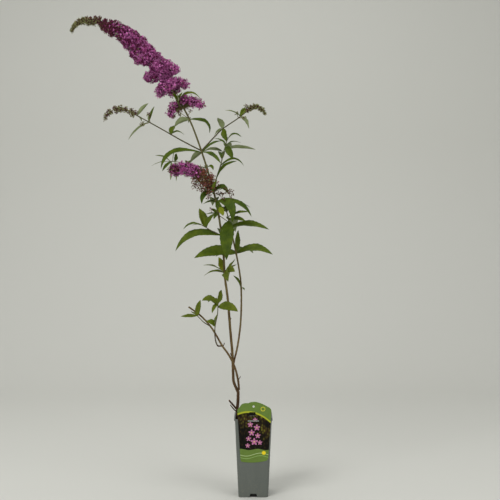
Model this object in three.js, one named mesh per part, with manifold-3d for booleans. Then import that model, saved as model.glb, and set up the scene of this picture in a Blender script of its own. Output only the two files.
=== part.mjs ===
// A young butterfly bush in its deep square nursery pot.
// Millimetres, +Z up, +Y away from the front. The origin is the centre of the pot's underside.
import * as THREE from "three";
import { mergeVertices } from "three/addons/utils/BufferGeometryUtils.js";
import Module from "manifold-3d";

const wasm = await Module();
wasm.setup();

// ---------------------------------------------------------------- driving dimensions
const CLEARANCE = 0.3; // left between pieces that touch
const POT = {
  rim: 89, // width over the lip
  mouth: 85, // width of the wall just under the lip
  foot: 69, // width at the ground
  height: 181,
  lip: 4.6, // depth of the lip
  lipDraft: 0.6, // how much narrower the lip is at its lower edge
  wall: 1.4,
  floor: 2.6,
  corner: 0.11, // corner radius as a share of the width
  notch: { width: 19, crown: 14, height: 8, depth: 4 }, // one for drainage in the foot of each side
};
const SOIL_LEVEL = 172;
const LABEL = {
  middle: 2.3, // its x, since it sits a little off the pot's middle
  width: 78, // at the shoulder
  foot: 64, // width above the corners of its foot
  bottom: 82,
  shoulder: 200, // where its sides end and the corners of the wavy top begin
  crest: 223,
  thickness: 0.8,
  gap: 0.5, // in front of the lip
  lean: 0.066, // forward, in each millimetre of height
  hole: { radius: 2.5, x: 0.5, height: 212 },
  slot: { width: 15, height: 8.5, x: -2.4, at: 194.5 },
  slitSpace: 0.8, // more than the strap's legs, in width and height
};
const STRAP = { width: 25, height: 2.4, thickness: 1.2, leg: 1.8, at: 178.6 };

// The plant is set out on a front elevation, as seen from this standpoint: a point that lies
// behind or before the plane of the pot's middle is carried along its line of sight.
const STANDPOINT = { x: -8, z: 570, distance: 1800 };

const LEAF = {
  thickness: 0.012, // of its length
  leastThickness: 1.0,
  petiole: 1.1, // half the width of its root
  fold: 0.3, // rise of the margins over the midrib, of half the width
  sections: 4,
  small: 45, // a leaf shorter than this has one section fewer
};
const TOUCH = 0.5; // a leaf that shares more than this volume with another mass is left out
const COLLAR_RADIUS = 1.1; // the stipule ring that joins a pair of leaves round its stem
const COLLAR_CORNERS = 6;
const RING_SPACE = 0.15; // more than the clearance, inside a collar
const LEAF_FOOT = 0.985; // of a twig's length, where its last leaves root
const SPIKE = {
  core: 0.5, // of its half width, which its heads of florets stand out of
  head: 0.44, // a head's radius, of the half width
  step: 16,
  sides: 8,
  reach: [0.86, 1.16], // of the way from the axis to the outline, by chance
  swing: 0.3, // of the angle between two heads, by chance
  lobeStalk: 3,
};
const WHORL = { stalk: 1, shrink: 0.15, droop: 1.6 };
const CYME = { hub: 0.3, hubRadius: 2.6, stem: [1.1, 1.1], stalk: [0.8, 0.8], capsule: 2.4, flatness: 0.6 };
const FLARE_LENGTH = 7; // over which a flared foot thins to its limb's own radius
const TWIG_SIDES = 3;
const TWIG_STEP = 12;
const LIMB_SIDES = 8;
const LIMB_STEP = 42; // length of one straight piece of a limb
const SLIVERS = [0.04, 0.06, 0.05, 0.08, 0.03, 0.1, 0.12, 0.02, 0.15]; // edges this short are collapsed
const THINNEST = 0.004; // the least height of a finished solid's faces
const THROUGH = 20; // long enough for a cutter to pass right through a plate

// ---------------------------------------------------------------- finishes
const finish = (color, roughness, metalness = 0) => ({ color, roughness, metalness });
const FINISHES = {
  pot: finish(0x5a6058, 0.6),
  soil: finish(0x2e241b, 0.95),
  label: finish(0x58823c, 0.35),
  strap: finish(0x8b9089, 0.55),
  bark: finish(0x5f4b32, 0.85),
  shoot: finish(0x5f5a41, 0.75),
  leaf: finish(0x486420, 0.6),
  blossom: finish(0x823c73, 0.7),
  buds: finish(0x6f5a4a, 0.8),
  spent: finish(0x64412d, 0.9),
};

// ---------------------------------------------------------------- limbs
// Each limb is one tapering tube: the points of its way, then its radius at its foot and its tip.
const LIMBS = {
  trunk: {
    finish: "bark",
    way: [[-35.8, 6, 166], [-37.3, 6, 199], [-35.8, 4, 217], [-35.6, 2, 238]],
    radii: [3.5, 3.3],
    flare: 0.5, // more, of its radius, at its foot under the cut at the ground
    step: 7,
  },
  main_stem: {
    finish: "bark",
    way: [
      [-37, 2, 238.6], [-46, 3, 261], [-47.6, 3, 290], [-49, 2, 325], [-54, 0, 382],
      [-60, 0, 455], [-67, 2, 510], [-70, 0, 560], [-76, -2, 618], [-92.5, -2, 705],
      [-121, 0, 800], [-150, -1, 877], [-176, -2, 924], [-205, 0, 968],
    ],
    radii: [3, 1.5],
  },
  right_stem: {
    finish: "bark",
    way: [
      [-46.5, 5, 303], [-37, 8, 344], [-30, 8, 397], [-28, 6, 460], [-30, 4, 501],
      [-40, 4, 561], [-53.8, 4, 622],
    ],
    radii: [2, 1.6],
  },
  left_branch: {
    finish: "bark",
    way: [
      [-33.5, -1, 241], [-35.5, -5, 262], [-43, -8, 293], [-56, -10, 321], [-73, -10, 345],
      [-89, -8, 373], [-101, -6, 391], [-123, -2, 415], [-152, 4, 436.5],
    ],
    radii: [2.3, 1.7],
    step: 22,
  },
  dead_stub: { finish: "bark", way: [[-37, 5, 194], [-45, 2, 203], [-57, -3, 217]], radii: [2.1, 1.7] },
  thin_dead_stub: { finish: "bark", way: [[-37, 4, 188], [-44, -3, 194], [-54, -8, 206]], radii: [1.2, 0.9] },
  upper_left_branch: {
    finish: "shoot",
    way: [[-121.5, 0, 803], [-164, -6, 825], [-208, -12, 850], [-242, -16, 869], [-279, -20, 889]],
    radii: [1.4, 0.9],
  },
  upper_right_branch: {
    finish: "shoot",
    way: [[-121, 0, 804], [-91, -4, 836], [-74, -8, 853], [-35, -14, 880], [-16, -16, 895]],
    radii: [1.4, 0.9],
    step: 30,
  },
};

// ---------------------------------------------------------------- leaf sprays
/**
 * One leaf: its tip, how far its middle rises over the straight line to the tip, its width,
 * and how many degrees its upper face turns to the front. The crest is where the arch is
 * steepest, from 0 at the root to 1 at the tip.
 */
const leaf = (tip, rise, width, turn, crest = 0.55) => ({ tip, rise, width, turn, crest });
/** A leaf that springs from its twig, at a share of the twig's length. */
const leafAt = (share, ...sizes) => ({ share, ...leaf(...sizes) });

// A spray springs from a collar round its limb, from a twig, or from both.
const SPRAYS = {
  lower_left_spray: {
    twigs: [{
      way: [[-73, -10, 345], [-83, -14, 345], [-89, -18, 360], [-90, -22, 388], [-84, -25, 420],
        [-83, -26, 446]],
      radii: [1.3, 0.8],
      leaves: [
        leafAt(0.97, [-121, -50, 451], 8, 20, 45),
        leafAt(1, [-74, 5, 476], 3, 15, 60),
        leafAt(0.93, [-36, -38, 425], 6, 22, 60),
        leafAt(1, [-97, -45, 421], 4, 9, 30),
        leafAt(0.95, [-106, 40, 447], 9, 18, 10),
        leafAt(0.52, [-110, -30, 402], 4, 10, 50),
        leafAt(0.52, [-85, -30, 419], 2, 8, 50),
      ],
    }],
  },
  lower_left_twig: {
    twigs: [{
      way: [[-101, -6, 391], [-116, -17, 400], [-133, -20, 417]],
      radii: [1, 0.6],
      leaves: [
        leafAt(0.97, [-171, -35, 414], 0, 10, 50),
        leafAt(0.95, [-124, -8, 453], 3, 13, 15),
        leafAt(1, [-145, -22, 423], 1, 6, 40),
      ],
    }],
  },
  lower_node_leaves: {
    collar: { limb: "main_stem", height: 516 },
    leaves: [
      leaf([-117, 25, 508], 7, 13, 20),
      leaf([-118, -25, 534], 6, 12, 15),
      leaf([-82, 22, 553], 3, 14, 60),
      leaf([-42, -22, 550], -2, 13, 55),
      leaf([-39, 28, 536], 2, 8, 20),
      leaf([-44, -70, 517], 8, 20, 40),
      leaf([-59, -62, 495], 8, 20, 40),
      leaf([-60, 84, 500], 14, 20, 0),
    ],
  },
  right_stem_leaf: {
    collar: { limb: "right_stem", height: 480 },
    leaves: [
      leaf([-47, -12, 510], 3, 12, 60),
      leaf([-21, 2, 475], 2, 6, 20),
    ],
  },
  right_node_leaves: {
    collar: { limb: "right_stem", height: 561 },
    leaves: [
      leaf([46, -18, 559], 13, 24, 45),
      leaf([-139, -30, 551], 10, 27, 62),
      leaf([-35, 22, 617], 4, 15, 50),
      leaf([0, 92, 562], 12, 22, 0),
      leaf([-88, 84, 554], 10, 22, 0),
    ],
  },
  crown_front_leaves: {
    twigs: [{
      way: [[-54, 4, 622.8], [-57, 4, 636.4], [-60, 4, 650], [-64, 6, 665]],
      radii: [1.5, 0.8],
      leaves: [
        leafAt(0.39, [-63, -42, 546], 14, 33, 0),
        leafAt(0.04, [37, -25, 618], 9, 20, 45),
        leafAt(0.6, [-10, -60, 660], 3, 12, 40),
        leafAt(0.46, [-18, -48, 638], 3, 14, 40),
        leafAt(0.43, [-42, 96, 612], 16, 26, 0),
        leafAt(0.87, [-74, 80, 666], 8, 22, 10),
      ],
    }],
  },
  crown_upper_leaves: {
    collar: { limb: "main_stem", height: 684 },
    leaves: [
      leaf([-4, -18, 648], 16, 18, 35, 0.6),
      leaf([-7, 30, 670], 8, 14, 25),
      leaf([-50, -40, 634], 24, 24, 40, 0.6),
      leaf([-70, -46, 656], 0, 15, 60),
      leaf([-118, 10, 678], 2, 14, 25),
      leaf([-96, 84, 674], 12, 22, 0),
      leaf([-62, 88, 688], 12, 22, 0),
    ],
  },
  mid_left_spray: {
    collar: { limb: "main_stem", height: 604 },
    leaves: [
      leaf([-183, -15, 567], 23, 22, 50, 0.6),
      leaf([-71, 96, 598], 16, 24, 0),
    ],
    twigs: [{
      way: [[-78.5, -2, 605], [-96, -6, 614], [-111, -9, 623], [-122, -10, 629]],
      radii: [1, 0.6],
      leaves: [
        leafAt(0.85, [-127, 0, 668], 2, 22, 20),
        leafAt(0.8, [-91, -14, 656], 2, 13, 65),
        leafAt(1, [-165, -22, 618], 8, 11, 25),
        leafAt(0.98, [-144, 12, 628], 2, 8, 20),
        leafAt(0.75, [-113, 38, 644], 5, 16, 20),
      ],
    }],
  },
  mid_small_leaves: {
    collar: { limb: "main_stem", height: 655 },
    leaves: [
      leaf([-113, -8, 654], 1, 8, 20),
      leaf([-93, -56, 642], 5, 11, 30),
      leaf([-99, 6, 668], 1, 7, 50),
    ],
  },
  under_spike_leaves: {
    collar: { limb: "main_stem", height: 706 },
    leaves: [
      leaf([-121, -15, 678], 11, 15, 45),
      leaf([-84, -16, 738], 2, 12, 50),
      leaf([-57, -10, 700], 14, 16, 50, 0.45),
      leaf([-80, 80, 698], 12, 20, 0),
      leaf([-114, 70, 710], 8, 18, 0),
    ],
  },
  upper_curl_leaves: {
    collar: { limb: "main_stem", height: 764 },
    leaves: [
      leaf([-94, -8, 757], 6, 9, 40),
      leaf([-112, 36, 762], 5, 9, 20),
    ],
  },
  left_rear_spray: {
    twigs: [{
      way: [[-110, 0, 770], [-125, 18, 777], [-150, 34, 781], [-184, 48, 781], [-196, 52, 778]],
      radii: [1.1, 0.7],
      leaves: [
        leafAt(1, [-231, 60, 792], 4, 9, -25),
        leafAt(1, [-240, 48, 767], 4, 7, 10),
        leafAt(0.98, [-214, 38, 755], 2, 9, 40),
        leafAt(0.98, [-195, 64, 734], -3, 11, -50),
        leafAt(0.9, [-180, 64, 797], 1, 12, 60),
        leafAt(0.9, [-181, 66, 731], 5, 10, 40),
        leafAt(0.95, [-183, 42, 812], 1, 6, 60),
        leafAt(0.6, [-150, 78, 770], 8, 13, 0),
      ],
    }],
  },
  right_spray: {
    twigs: [{
      way: [[-93.4, 0.6, 710], [-86, 10, 740], [-76, 14, 772], [-70, 16, 799], [-64, 18, 820],
        [-61, 18, 836]],
      radii: [1.4, 0.7],
      leaves: [
        leafAt(0.24, [-22, -5, 766], 18, 15, 35),
        leafAt(0.48, [-27, 42, 781], 4, 9, 15),
        leafAt(0.93, [-27, 5, 835], 12, 11, 30),
        leafAt(0.86, [-28, 32, 821], 6, 8, 15),
        leafAt(0.83, [-48, -12, 782], 5, 19, 60),
        leafAt(0.8, [6, 22, 806], 4, 15, -35),
        leafAt(0.88, [-92, 32, 832], 3, 9, 20),
        leafAt(0.6, [-76, 84, 794], 10, 16, 0),
        leafAt(0.84, [-54, 88, 798], 12, 18, 0),
      ],
    }],
  },
  fork_leaves: {
    collar: { limb: "main_stem", height: 799 },
    leaves: [
      leaf([-217, -30, 760], 24, 19, 35, 0.72),
      leaf([-149, 62, 774], 6, 16, -40),
      leaf([-63, 47, 826], 10, 14, 35),
      leaf([-76, -56, 773], 7, 13, 25),
      leaf([-71, 72, 801], 6, 13, -30),
    ],
  },
  upper_right_leaves: {
    collar: { limb: "upper_right_branch", height: 853 },
    leaves: [
      leaf([-84, -28, 881], 2, 15, 0),
      leaf([-64, -24, 826], 2, 16, 60),
      leaf([-92, -22, 838], 2, 11, -40),
    ],
  },
  upper_right_tip_leaves: {
    collar: { limb: "upper_right_branch", height: 881 },
    leaves: [
      leaf([-67, -24, 898], 4, 8, 25),
      leaf([-10, -26, 855], 3, 16, -50),
      leaf([-12, 8, 901], 5, 12, 50),
      leaf([-40, -22, 893], 1, 5, 40),
    ],
  },
  upper_left_leaves: {
    collar: { limb: "upper_left_branch", height: 840 },
    leaves: [
      leaf([-184, 10, 863], 3, 15, 0),
      leaf([-162, 4, 840], 7, 9, 30),
    ],
  },
  bud_branch_leaves: {
    collar: { limb: "upper_left_branch", height: 868 },
    leaves: [
      leaf([-232, -6, 908], 2, 10, 55),
      leaf([-294, -28, 828], 5, 8, -35),
      leaf([-246, -26, 889], 1, 5, 40),
    ],
  },
  bud_leaf: {
    collar: { limb: "upper_left_branch", height: 882 },
    leaves: [
      leaf([-246, -30, 915], 3, 12, -50),
      leaf([-262, 12, 872], 3, 8, 20),
    ],
  },
  top_node_leaves: {
    collar: { limb: "main_stem", height: 876 },
    leaves: [
      leaf([-186, -18, 858], 6, 16, -55),
      leaf([-103, 12, 844], 16, 14, 40, 0.75),
      leaf([-152, 46, 868], 8, 9, 0),
    ],
  },
  bract_leaves: {
    collar: { limb: "main_stem", height: 922 },
    leaves: [
      leaf([-187, -12, 938], 1, 9, 60),
      leaf([-123, 14, 924], 15, 13, 35, 0.6),
      leaf([-173, -14, 942], 1, 8, 60),
    ],
  },
};

// ---------------------------------------------------------------- flower heads
// A spike has an axis, a half width at even steps along it, and whorls of florets' heads.
// A lobe is a side head that hangs out of the spike: where it lies and its radius.
const lobe = (place, radius) => ({ place, radius });
const SPIKES = {
  main_spike: {
    finish: "blossom",
    way: [
      [-205.4, 0, 968.6], [-214, 0, 993], [-236, -3, 1021], [-262, -5, 1044], [-289, -6, 1064],
      [-313, -6, 1081], [-337, -5, 1093],
    ],
    girth: [14, 25, 20, 22, 27, 24, 19],
    whorls: 8,
    arms: 4,
    seed: 11,
    lobes: [
      lobe([-243, -6, 976], 15), lobe([-234, -8, 994], 13), lobe([-184, 2, 995], 11),
      lobe([-200, -4, 1004], 12), lobe([-268, -8, 1019], 15), lobe([-216, -24, 990], 13),
      lobe([-212, 26, 988], 14), lobe([-250, 22, 1020], 11),
    ],
  },
  spike_tip: {
    finish: "buds",
    way: [[-338, -5, 1094.5], [-360, -5, 1104], [-384, -4, 1110], [-407, -2, 1107], [-421, 0, 1096],
      [-427, 1, 1082]],
    girth: [17, 13, 9.5, 8, 6.5, 3.8],
    whorls: 11,
    arms: 2,
    bud: true,
    seed: 12,
    lobes: [],
  },
  mid_spike: {
    finish: "blossom",
    way: [[-131, -24, 752], [-149, -28, 759], [-170, -30, 761], [-192, -30, 757]],
    girth: [15, 17, 16, 14],
    whorls: 4,
    arms: 3,
    seed: 13,
    lobes: [],
  },
  spent_flowers: {
    finish: "spent",
    way: [[-96, -4, 715], [-104, -13, 727], [-116, -20, 741], [-129.5, -24, 751]],
    girth: [11, 19, 20, 16],
    whorls: 3,
    arms: 4,
    seed: 14,
    lobes: [lobe([-136, -18, 724], 8), lobe([-122, -24, 716], 8)],
  },
  left_bud_spike: {
    finish: "buds",
    way: [[-279.6, -20, 889.4], [-297, -21, 899], [-319, -21, 902], [-340, -20, 892], [-352, -18, 871]],
    girth: [7.5, 8, 8.5, 8, 5],
    whorls: 9,
    arms: 2,
    bud: true,
    seed: 15,
    lobes: [],
  },
  right_bud_spike: {
    finish: "buds",
    way: [[-15.6, -16, 895.6], [-5, -16, 904], [8, -16, 907], [21, -15, 899], [29, -14, 889]],
    girth: [6, 8, 8, 6.5, 4],
    whorls: 6,
    arms: 2,
    bud: true,
    seed: 16,
    lobes: [],
  },
};

// A whorl stands round its stem on a collar. Each fan of heads reaches out from the stem towards
// a heading, from its lift above the collar to its drop, on one stalk.
const fan = (heading, reach, lift, drop, heads, radius) => ({ heading, reach, lift, drop, heads, radius });
const WHORLS = {
  upper_whorl: {
    finish: "blossom",
    collar: { limb: "main_stem", height: 950 },
    seed: 21,
    fans: [
      fan([-1, -0.1, 0], [12, 26], 9, 3, 2, 12),
      fan([1, -0.1, 0], [11, 30], 6, -13, 3, 11),
      fan([0.1, -1, -0.2], [12, 28], 2, -5, 2, 11),
      fan([0.1, 1, 0], [12, 32], 6, -3, 2, 12),
    ],
  },
  lower_whorl: {
    finish: "blossom",
    collar: { limb: "main_stem", height: 902 },
    seed: 22,
    fans: [
      fan([-1, -0.2, 0], [16, 33], 13, 1, 3, 8.5),
      fan([1, -0.2, 0], [9, 38], 12, -14, 4, 10.5),
      fan([0.5, 1, 0], [14, 36], 16, 8, 3, 10),
      fan([-0.5, 1, 0], [14, 28], 14, 8, 2, 8),
    ],
  },
};

// Dry stalks with seed capsules.
const CYMES = {
  spent_cyme: {
    collar: { limb: "main_stem", height: 701 },
    heading: [-66, -14, 699],
    spread: 34,
    stalks: 7,
    seed: 34,
  },
};

// ---------------------------------------------------------------- geometry
/** A seeded row of numbers from 0 to 1. */
function randomRow(seed) {
  let state = seed * 7919;
  return () => {
    state = (state * 1664525 + 1013904223) % 4294967296;
    return state / 4294967296;
  };
}

/** A point of the front elevation, carried back by y along its line of sight. */
function place([x, y, z]) {
  const spread = 1 + y / STANDPOINT.distance;
  return new THREE.Vector3(
    STANDPOINT.x + (x - STANDPOINT.x) * spread,
    y,
    STANDPOINT.z + (z - STANDPOINT.z) * spread,
  );
}

/** The curve through the points of a way. */
function curveOf(way) {
  return new THREE.CatmullRomCurve3(way.map(place), false, "centripetal");
}

/** A closed geometry as a solid. */
function solid(geometry) {
  const bare = geometry.clone();
  bare.deleteAttribute("normal");
  bare.deleteAttribute("uv");
  const merged = mergeVertices(bare, 1e-4);
  return new wasm.Manifold(new wasm.Mesh({
    numProp: 3,
    vertProperties: merged.getAttribute("position").array,
    triVerts: new Uint32Array(merged.index.array),
  }));
}

/** How many faces of a solid are slivers, and how many edges don't join just two faces. */
function faults(made) {
  const { vertProperties, triVerts } = made.getMesh();
  const geometry = new THREE.BufferGeometry();
  geometry.setAttribute("position", new THREE.BufferAttribute(vertProperties, 3));
  geometry.setIndex(new THREE.BufferAttribute(triVerts, 1));
  const merged = mergeVertices(geometry, 1e-3);
  const position = merged.getAttribute("position");
  const corners = merged.index.array;
  const uses = new Map();
  let count = 0;
  for (let i = 0; i < corners.length; i += 3) {
    const triangle = new THREE.Triangle().setFromAttributeAndIndices(position, ...corners.slice(i, i + 3));
    const edges = [[0, 1], [1, 2], [2, 0]].map((pair) => pair.map((corner) => corners[i + corner]));
    const longest = Math.max(
      triangle.a.distanceTo(triangle.b),
      triangle.b.distanceTo(triangle.c),
      triangle.c.distanceTo(triangle.a),
    );
    if (2 * triangle.getArea() < THINNEST * longest) count += 1;
    for (const edge of edges) {
      const key = edge.sort((a, b) => a - b).join();
      uses.set(key, (uses.get(key) ?? 0) + 1);
    }
  }
  return count + [...uses.values()].filter((times) => times !== 2).length;
}

/** The largest body of what is left, so that no loose scrap stays, cleared of its slivers. */
function wholeBody(made) {
  const bodies = made.decompose();
  const largest = bodies.reduce((best, body) => (body.volume() > best.volume() ? body : best));
  const cleared = SLIVERS.map((size) => largest.asOriginal().simplify(size));
  const marks = cleared.map(faults);
  return cleared[marks.indexOf(Math.min(...marks))];
}

/** Several solids as one. */
function fuse(pieces) {
  return pieces.reduce((joined, piece) => joined.add(piece));
}

/** A closed tube along a curve, whose radii lie at even steps from its foot to its tip. */
function tubeAlong(curve, radii, { sides, step, flare = 0, margin = 0 }) {
  const length = curve.getLength();
  const steps = Math.max(2, Math.round(length / step));
  const geometry = new THREE.CylinderGeometry(1, 1, 1, sides, steps);
  const frames = curve.computeFrenetFrames(steps, false);
  const position = geometry.getAttribute("position");
  for (let i = 0; i < position.count; i += 1) {
    const ring = Math.round((position.getY(i) + 0.5) * steps);
    const share = ring / steps;
    const foot = 1 + flare * Math.exp((-share * length) / FLARE_LENGTH);
    const radius = valueAlong(radii, share) * foot + margin;
    const point = curve.getPointAt(share);
    point.addScaledVector(frames.normals[ring], position.getX(i) * radius);
    point.addScaledVector(frames.binormals[ring], -position.getZ(i) * radius);
    position.setXYZ(i, point.x, point.y, point.z);
  }
  return solid(geometry);
}

/** A lance-shaped blade from its root to its tip, arched and folded along its midrib. */
function blade(root, sizes) {
  const tip = place(sizes.tip);
  const chord = tip.clone().sub(root);
  const length = chord.length();
  const along = chord.clone().normalize();
  const arch = new THREE.Vector3(0, 0, 1).addScaledVector(along, -along.z).normalize();
  const across = arch.clone().cross(along);
  const toFront = across.y > 0 ? -1 : 1;
  const bend = root.clone().addScaledVector(chord, sizes.crest).addScaledVector(arch, 2 * sizes.rise);
  const curve = new THREE.QuadraticBezierCurve3(root, bend, tip);
  const sections = length < LEAF.small ? LEAF.sections - 1 : LEAF.sections;
  const geometry = new THREE.ConeGeometry(1, 1, 4, sections);
  const position = geometry.getAttribute("position");
  const turn = THREE.MathUtils.degToRad(sizes.turn) * toFront;
  const thickness = Math.max(LEAF.leastThickness, LEAF.thickness * length) / 2;
  for (let i = 0; i < position.count; i += 1) {
    const share = position.getY(i) + 0.5;
    const tangent = curve.getTangent(share);
    const up = across.clone().cross(tangent).negate().normalize();
    const side = across.clone().multiplyScalar(Math.cos(turn)).addScaledVector(up, -Math.sin(turn));
    const face = up.clone().multiplyScalar(Math.cos(turn)).addScaledVector(across, Math.sin(turn));
    const outline = Math.sin(Math.PI * share ** 0.8) ** 0.85;
    const halfWidth = Math.max((sizes.width / 2) * outline, LEAF.petiole * (1 - 3 * share));
    // The cone's corners lie on its own axes: two are the margins, two the faces. Its tip is neither.
    const open = share < 1 ? 1 : 0;
    const margin = -Math.round(position.getX(i) / coneRadius(share)) * open;
    const surface = Math.round(position.getZ(i) / coneRadius(share)) * open;
    const point = curve.getPoint(share);
    point.addScaledVector(side, margin * halfWidth);
    point.addScaledVector(face, surface * thickness + LEAF.fold * Math.abs(margin) * halfWidth * outline);
    position.setXYZ(i, point.x, point.y, point.z);
  }
  return solid(geometry);
}

/** The unit cone's radius at a share of its height, kept above nothing so that it divides. */
function coneRadius(share) {
  return Math.max(1 - share, 0.001);
}

/** The share of a limb's length at which it passes a height. */
function shareAtHeight(curve, height) {
  let low = 0;
  let high = 1;
  while (high - low > 1e-4) {
    const middle = (low + high) / 2;
    if (curve.getPointAt(middle).z < height) low = middle;
    else high = middle;
  }
  return low;
}

/** The ring round a limb that leaves or stalks spring from. */
function collarOn({ limb, height }) {
  const { radii } = LIMBS[limb];
  const curve = curves[limb];
  const share = shareAtHeight(curve, height);
  const centre = curve.getPointAt(share);
  const tangent = curve.getTangentAt(share);
  const space = THREE.MathUtils.lerp(radii[0], radii[1], share) + CLEARANCE + RING_SPACE;
  const radius = space / Math.cos(Math.PI / COLLAR_CORNERS) + COLLAR_RADIUS;
  const ring = new THREE.TorusGeometry(radius, COLLAR_RADIUS, 3, COLLAR_CORNERS);
  ring.applyQuaternion(new THREE.Quaternion().setFromUnitVectors(new THREE.Vector3(0, 0, 1), tangent));
  ring.translate(centre.x, centre.y, centre.z);
  const rootTowards = (target) => {
    const out = target.clone().sub(centre);
    out.addScaledVector(tangent, -out.dot(tangent)).normalize();
    return centre.clone().addScaledVector(out, radius);
  };
  return { body: solid(ring), centre, tangent, rootTowards };
}

/** A head of florets, or of buds: a small rough ball, turned by chance. */
function head(centre, radius, random, bud = false) {
  const ball = bud ? new THREE.OctahedronGeometry(radius) : new THREE.IcosahedronGeometry(radius);
  const turns = [random(), random(), random()].map((share) => share * 2 * Math.PI);
  ball.applyMatrix4(new THREE.Matrix4().makeRotationFromEuler(new THREE.Euler(...turns)));
  ball.translate(centre.x, centre.y, centre.z);
  return solid(ball);
}

/** A slim stalk between two points, three-sided. */
function stalk(from, to, radii) {
  const curve = new THREE.LineCurve3(from, to);
  return tubeAlong(curve, radii, { sides: TWIG_SIDES, step: from.distanceTo(to) });
}

/** The value at a share of the way along a row of values at even steps. */
function valueAlong(values, share) {
  const scaled = share * (values.length - 1);
  const index = Math.min(values.length - 2, Math.floor(scaled));
  return THREE.MathUtils.lerp(values[index], values[index + 1], scaled - index);
}

/** A unit vector square to a direction, at an angle round it. */
function squareTo(tangent, angle) {
  const side = new THREE.Vector3(0, 1, 0).addScaledVector(tangent, -tangent.y).normalize();
  return side.applyAxisAngle(tangent, angle);
}

// ---------------------------------------------------------------- sub-assemblies
const group = new THREE.Group();
group.name = "butterfly_bush_in_pot";

/** Adds a solid to the group as one named mesh. */
function addMesh(name, made, finishName) {
  const mesh = made.getMesh();
  const geometry = new THREE.BufferGeometry();
  geometry.setAttribute("position", new THREE.BufferAttribute(mesh.vertProperties, 3));
  geometry.setIndex(new THREE.BufferAttribute(mesh.triVerts, 1));
  geometry.computeVertexNormals();
  const piece = new THREE.Mesh(geometry, new THREE.MeshStandardMaterial(FINISHES[finishName]));
  piece.name = name;
  group.add(piece);
}

/** A square with round corners, drawn round the origin. */
function roundSquare(width) {
  const half = width / 2;
  const radius = width * POT.corner;
  const shape = new THREE.Shape();
  shape.moveTo(radius - half, -half);
  shape.lineTo(half - radius, -half);
  shape.absarc(half - radius, radius - half, radius, -Math.PI / 2, 0);
  shape.lineTo(half, half - radius);
  shape.absarc(half - radius, half - radius, radius, 0, Math.PI / 2);
  shape.lineTo(radius - half, half);
  shape.absarc(radius - half, half - radius, radius, Math.PI / 2, Math.PI);
  shape.lineTo(-half, radius - half);
  shape.absarc(radius - half, radius - half, radius, Math.PI, 1.5 * Math.PI);
  return shape;
}

/** A tapered block from one height and width to another. */
function taperedBlock(bottom, bottomWidth, top, topWidth) {
  const block = new THREE.ExtrudeGeometry(roundSquare(1), {
    depth: 1,
    bevelEnabled: false,
    curveSegments: 4,
  });
  const position = block.getAttribute("position");
  for (let i = 0; i < position.count; i += 1) {
    const share = position.getZ(i);
    const width = THREE.MathUtils.lerp(bottomWidth, topWidth, share);
    const height = THREE.MathUtils.lerp(bottom, top, share);
    position.setXYZ(i, position.getX(i) * width, position.getY(i) * width, height);
  }
  return solid(block);
}

/** The width of the pot's wall at a height. */
function wallWidthAt(height) {
  return THREE.MathUtils.lerp(POT.foot, POT.mouth, height / (POT.height - POT.lip));
}

/** A box round a centre. */
function block(width, depth, height, x, y, z) {
  return solid(new THREE.BoxGeometry(width, depth, height).translate(x, y, z));
}

/** A tapered box with a lip, open at the top, with a notch in the foot of each side. */
function makePot() {
  const underLip = POT.height - POT.lip;
  const inLip = underLip + 0.5; // the wall's top, sunk into the lip
  const inside = 2 * POT.wall;
  const above = POT.height + 10;
  const { width, crown, height, depth } = POT.notch;
  let pot = taperedBlock(0, POT.foot, inLip, wallWidthAt(inLip));
  pot = pot.add(taperedBlock(underLip, POT.rim - POT.lipDraft, POT.height, POT.rim));
  pot = pot.subtract(
    taperedBlock(POT.floor, wallWidthAt(POT.floor) - inside, above, wallWidthAt(above) - inside),
  );
  for (let side = 0; side < 4; side += 1) {
    const outline = new THREE.Shape([
      new THREE.Vector2(-width / 2, -1),
      new THREE.Vector2(width / 2, -1),
      new THREE.Vector2(crown / 2, height),
      new THREE.Vector2(-crown / 2, height),
    ]);
    const notch = new THREE.ExtrudeGeometry(outline, { depth: 2 * depth, bevelEnabled: false });
    notch.rotateX(Math.PI / 2).translate(0, depth - POT.foot / 2, 0).rotateZ((side * Math.PI) / 2);
    pot = pot.subtract(solid(notch));
  }
  return pot;
}

/** The fill: a solid block, flat at the ground, clear of the wall and floor. */
function makeSoil() {
  const gap = 2 * (POT.wall + CLEARANCE);
  const bottom = POT.floor + CLEARANCE;
  return taperedBlock(bottom, wallWidthAt(bottom) - gap, SOIL_LEVEL, wallWidthAt(SOIL_LEVEL) - gap);
}

/** How far forward the label's back stands at a height: before the lip, and leaning out upwards. */
function labelFront(height) {
  return -POT.rim / 2 - LABEL.gap - LABEL.lean * (height - POT.height);
}

/** Shears an upright plate to the label's lean. */
function leanWithLabel(geometry) {
  const position = geometry.getAttribute("position");
  for (let i = 0; i < position.count; i += 1) {
    const height = position.getZ(i);
    position.setY(i, position.getY(i) + labelFront(height));
  }
  return geometry;
}

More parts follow.
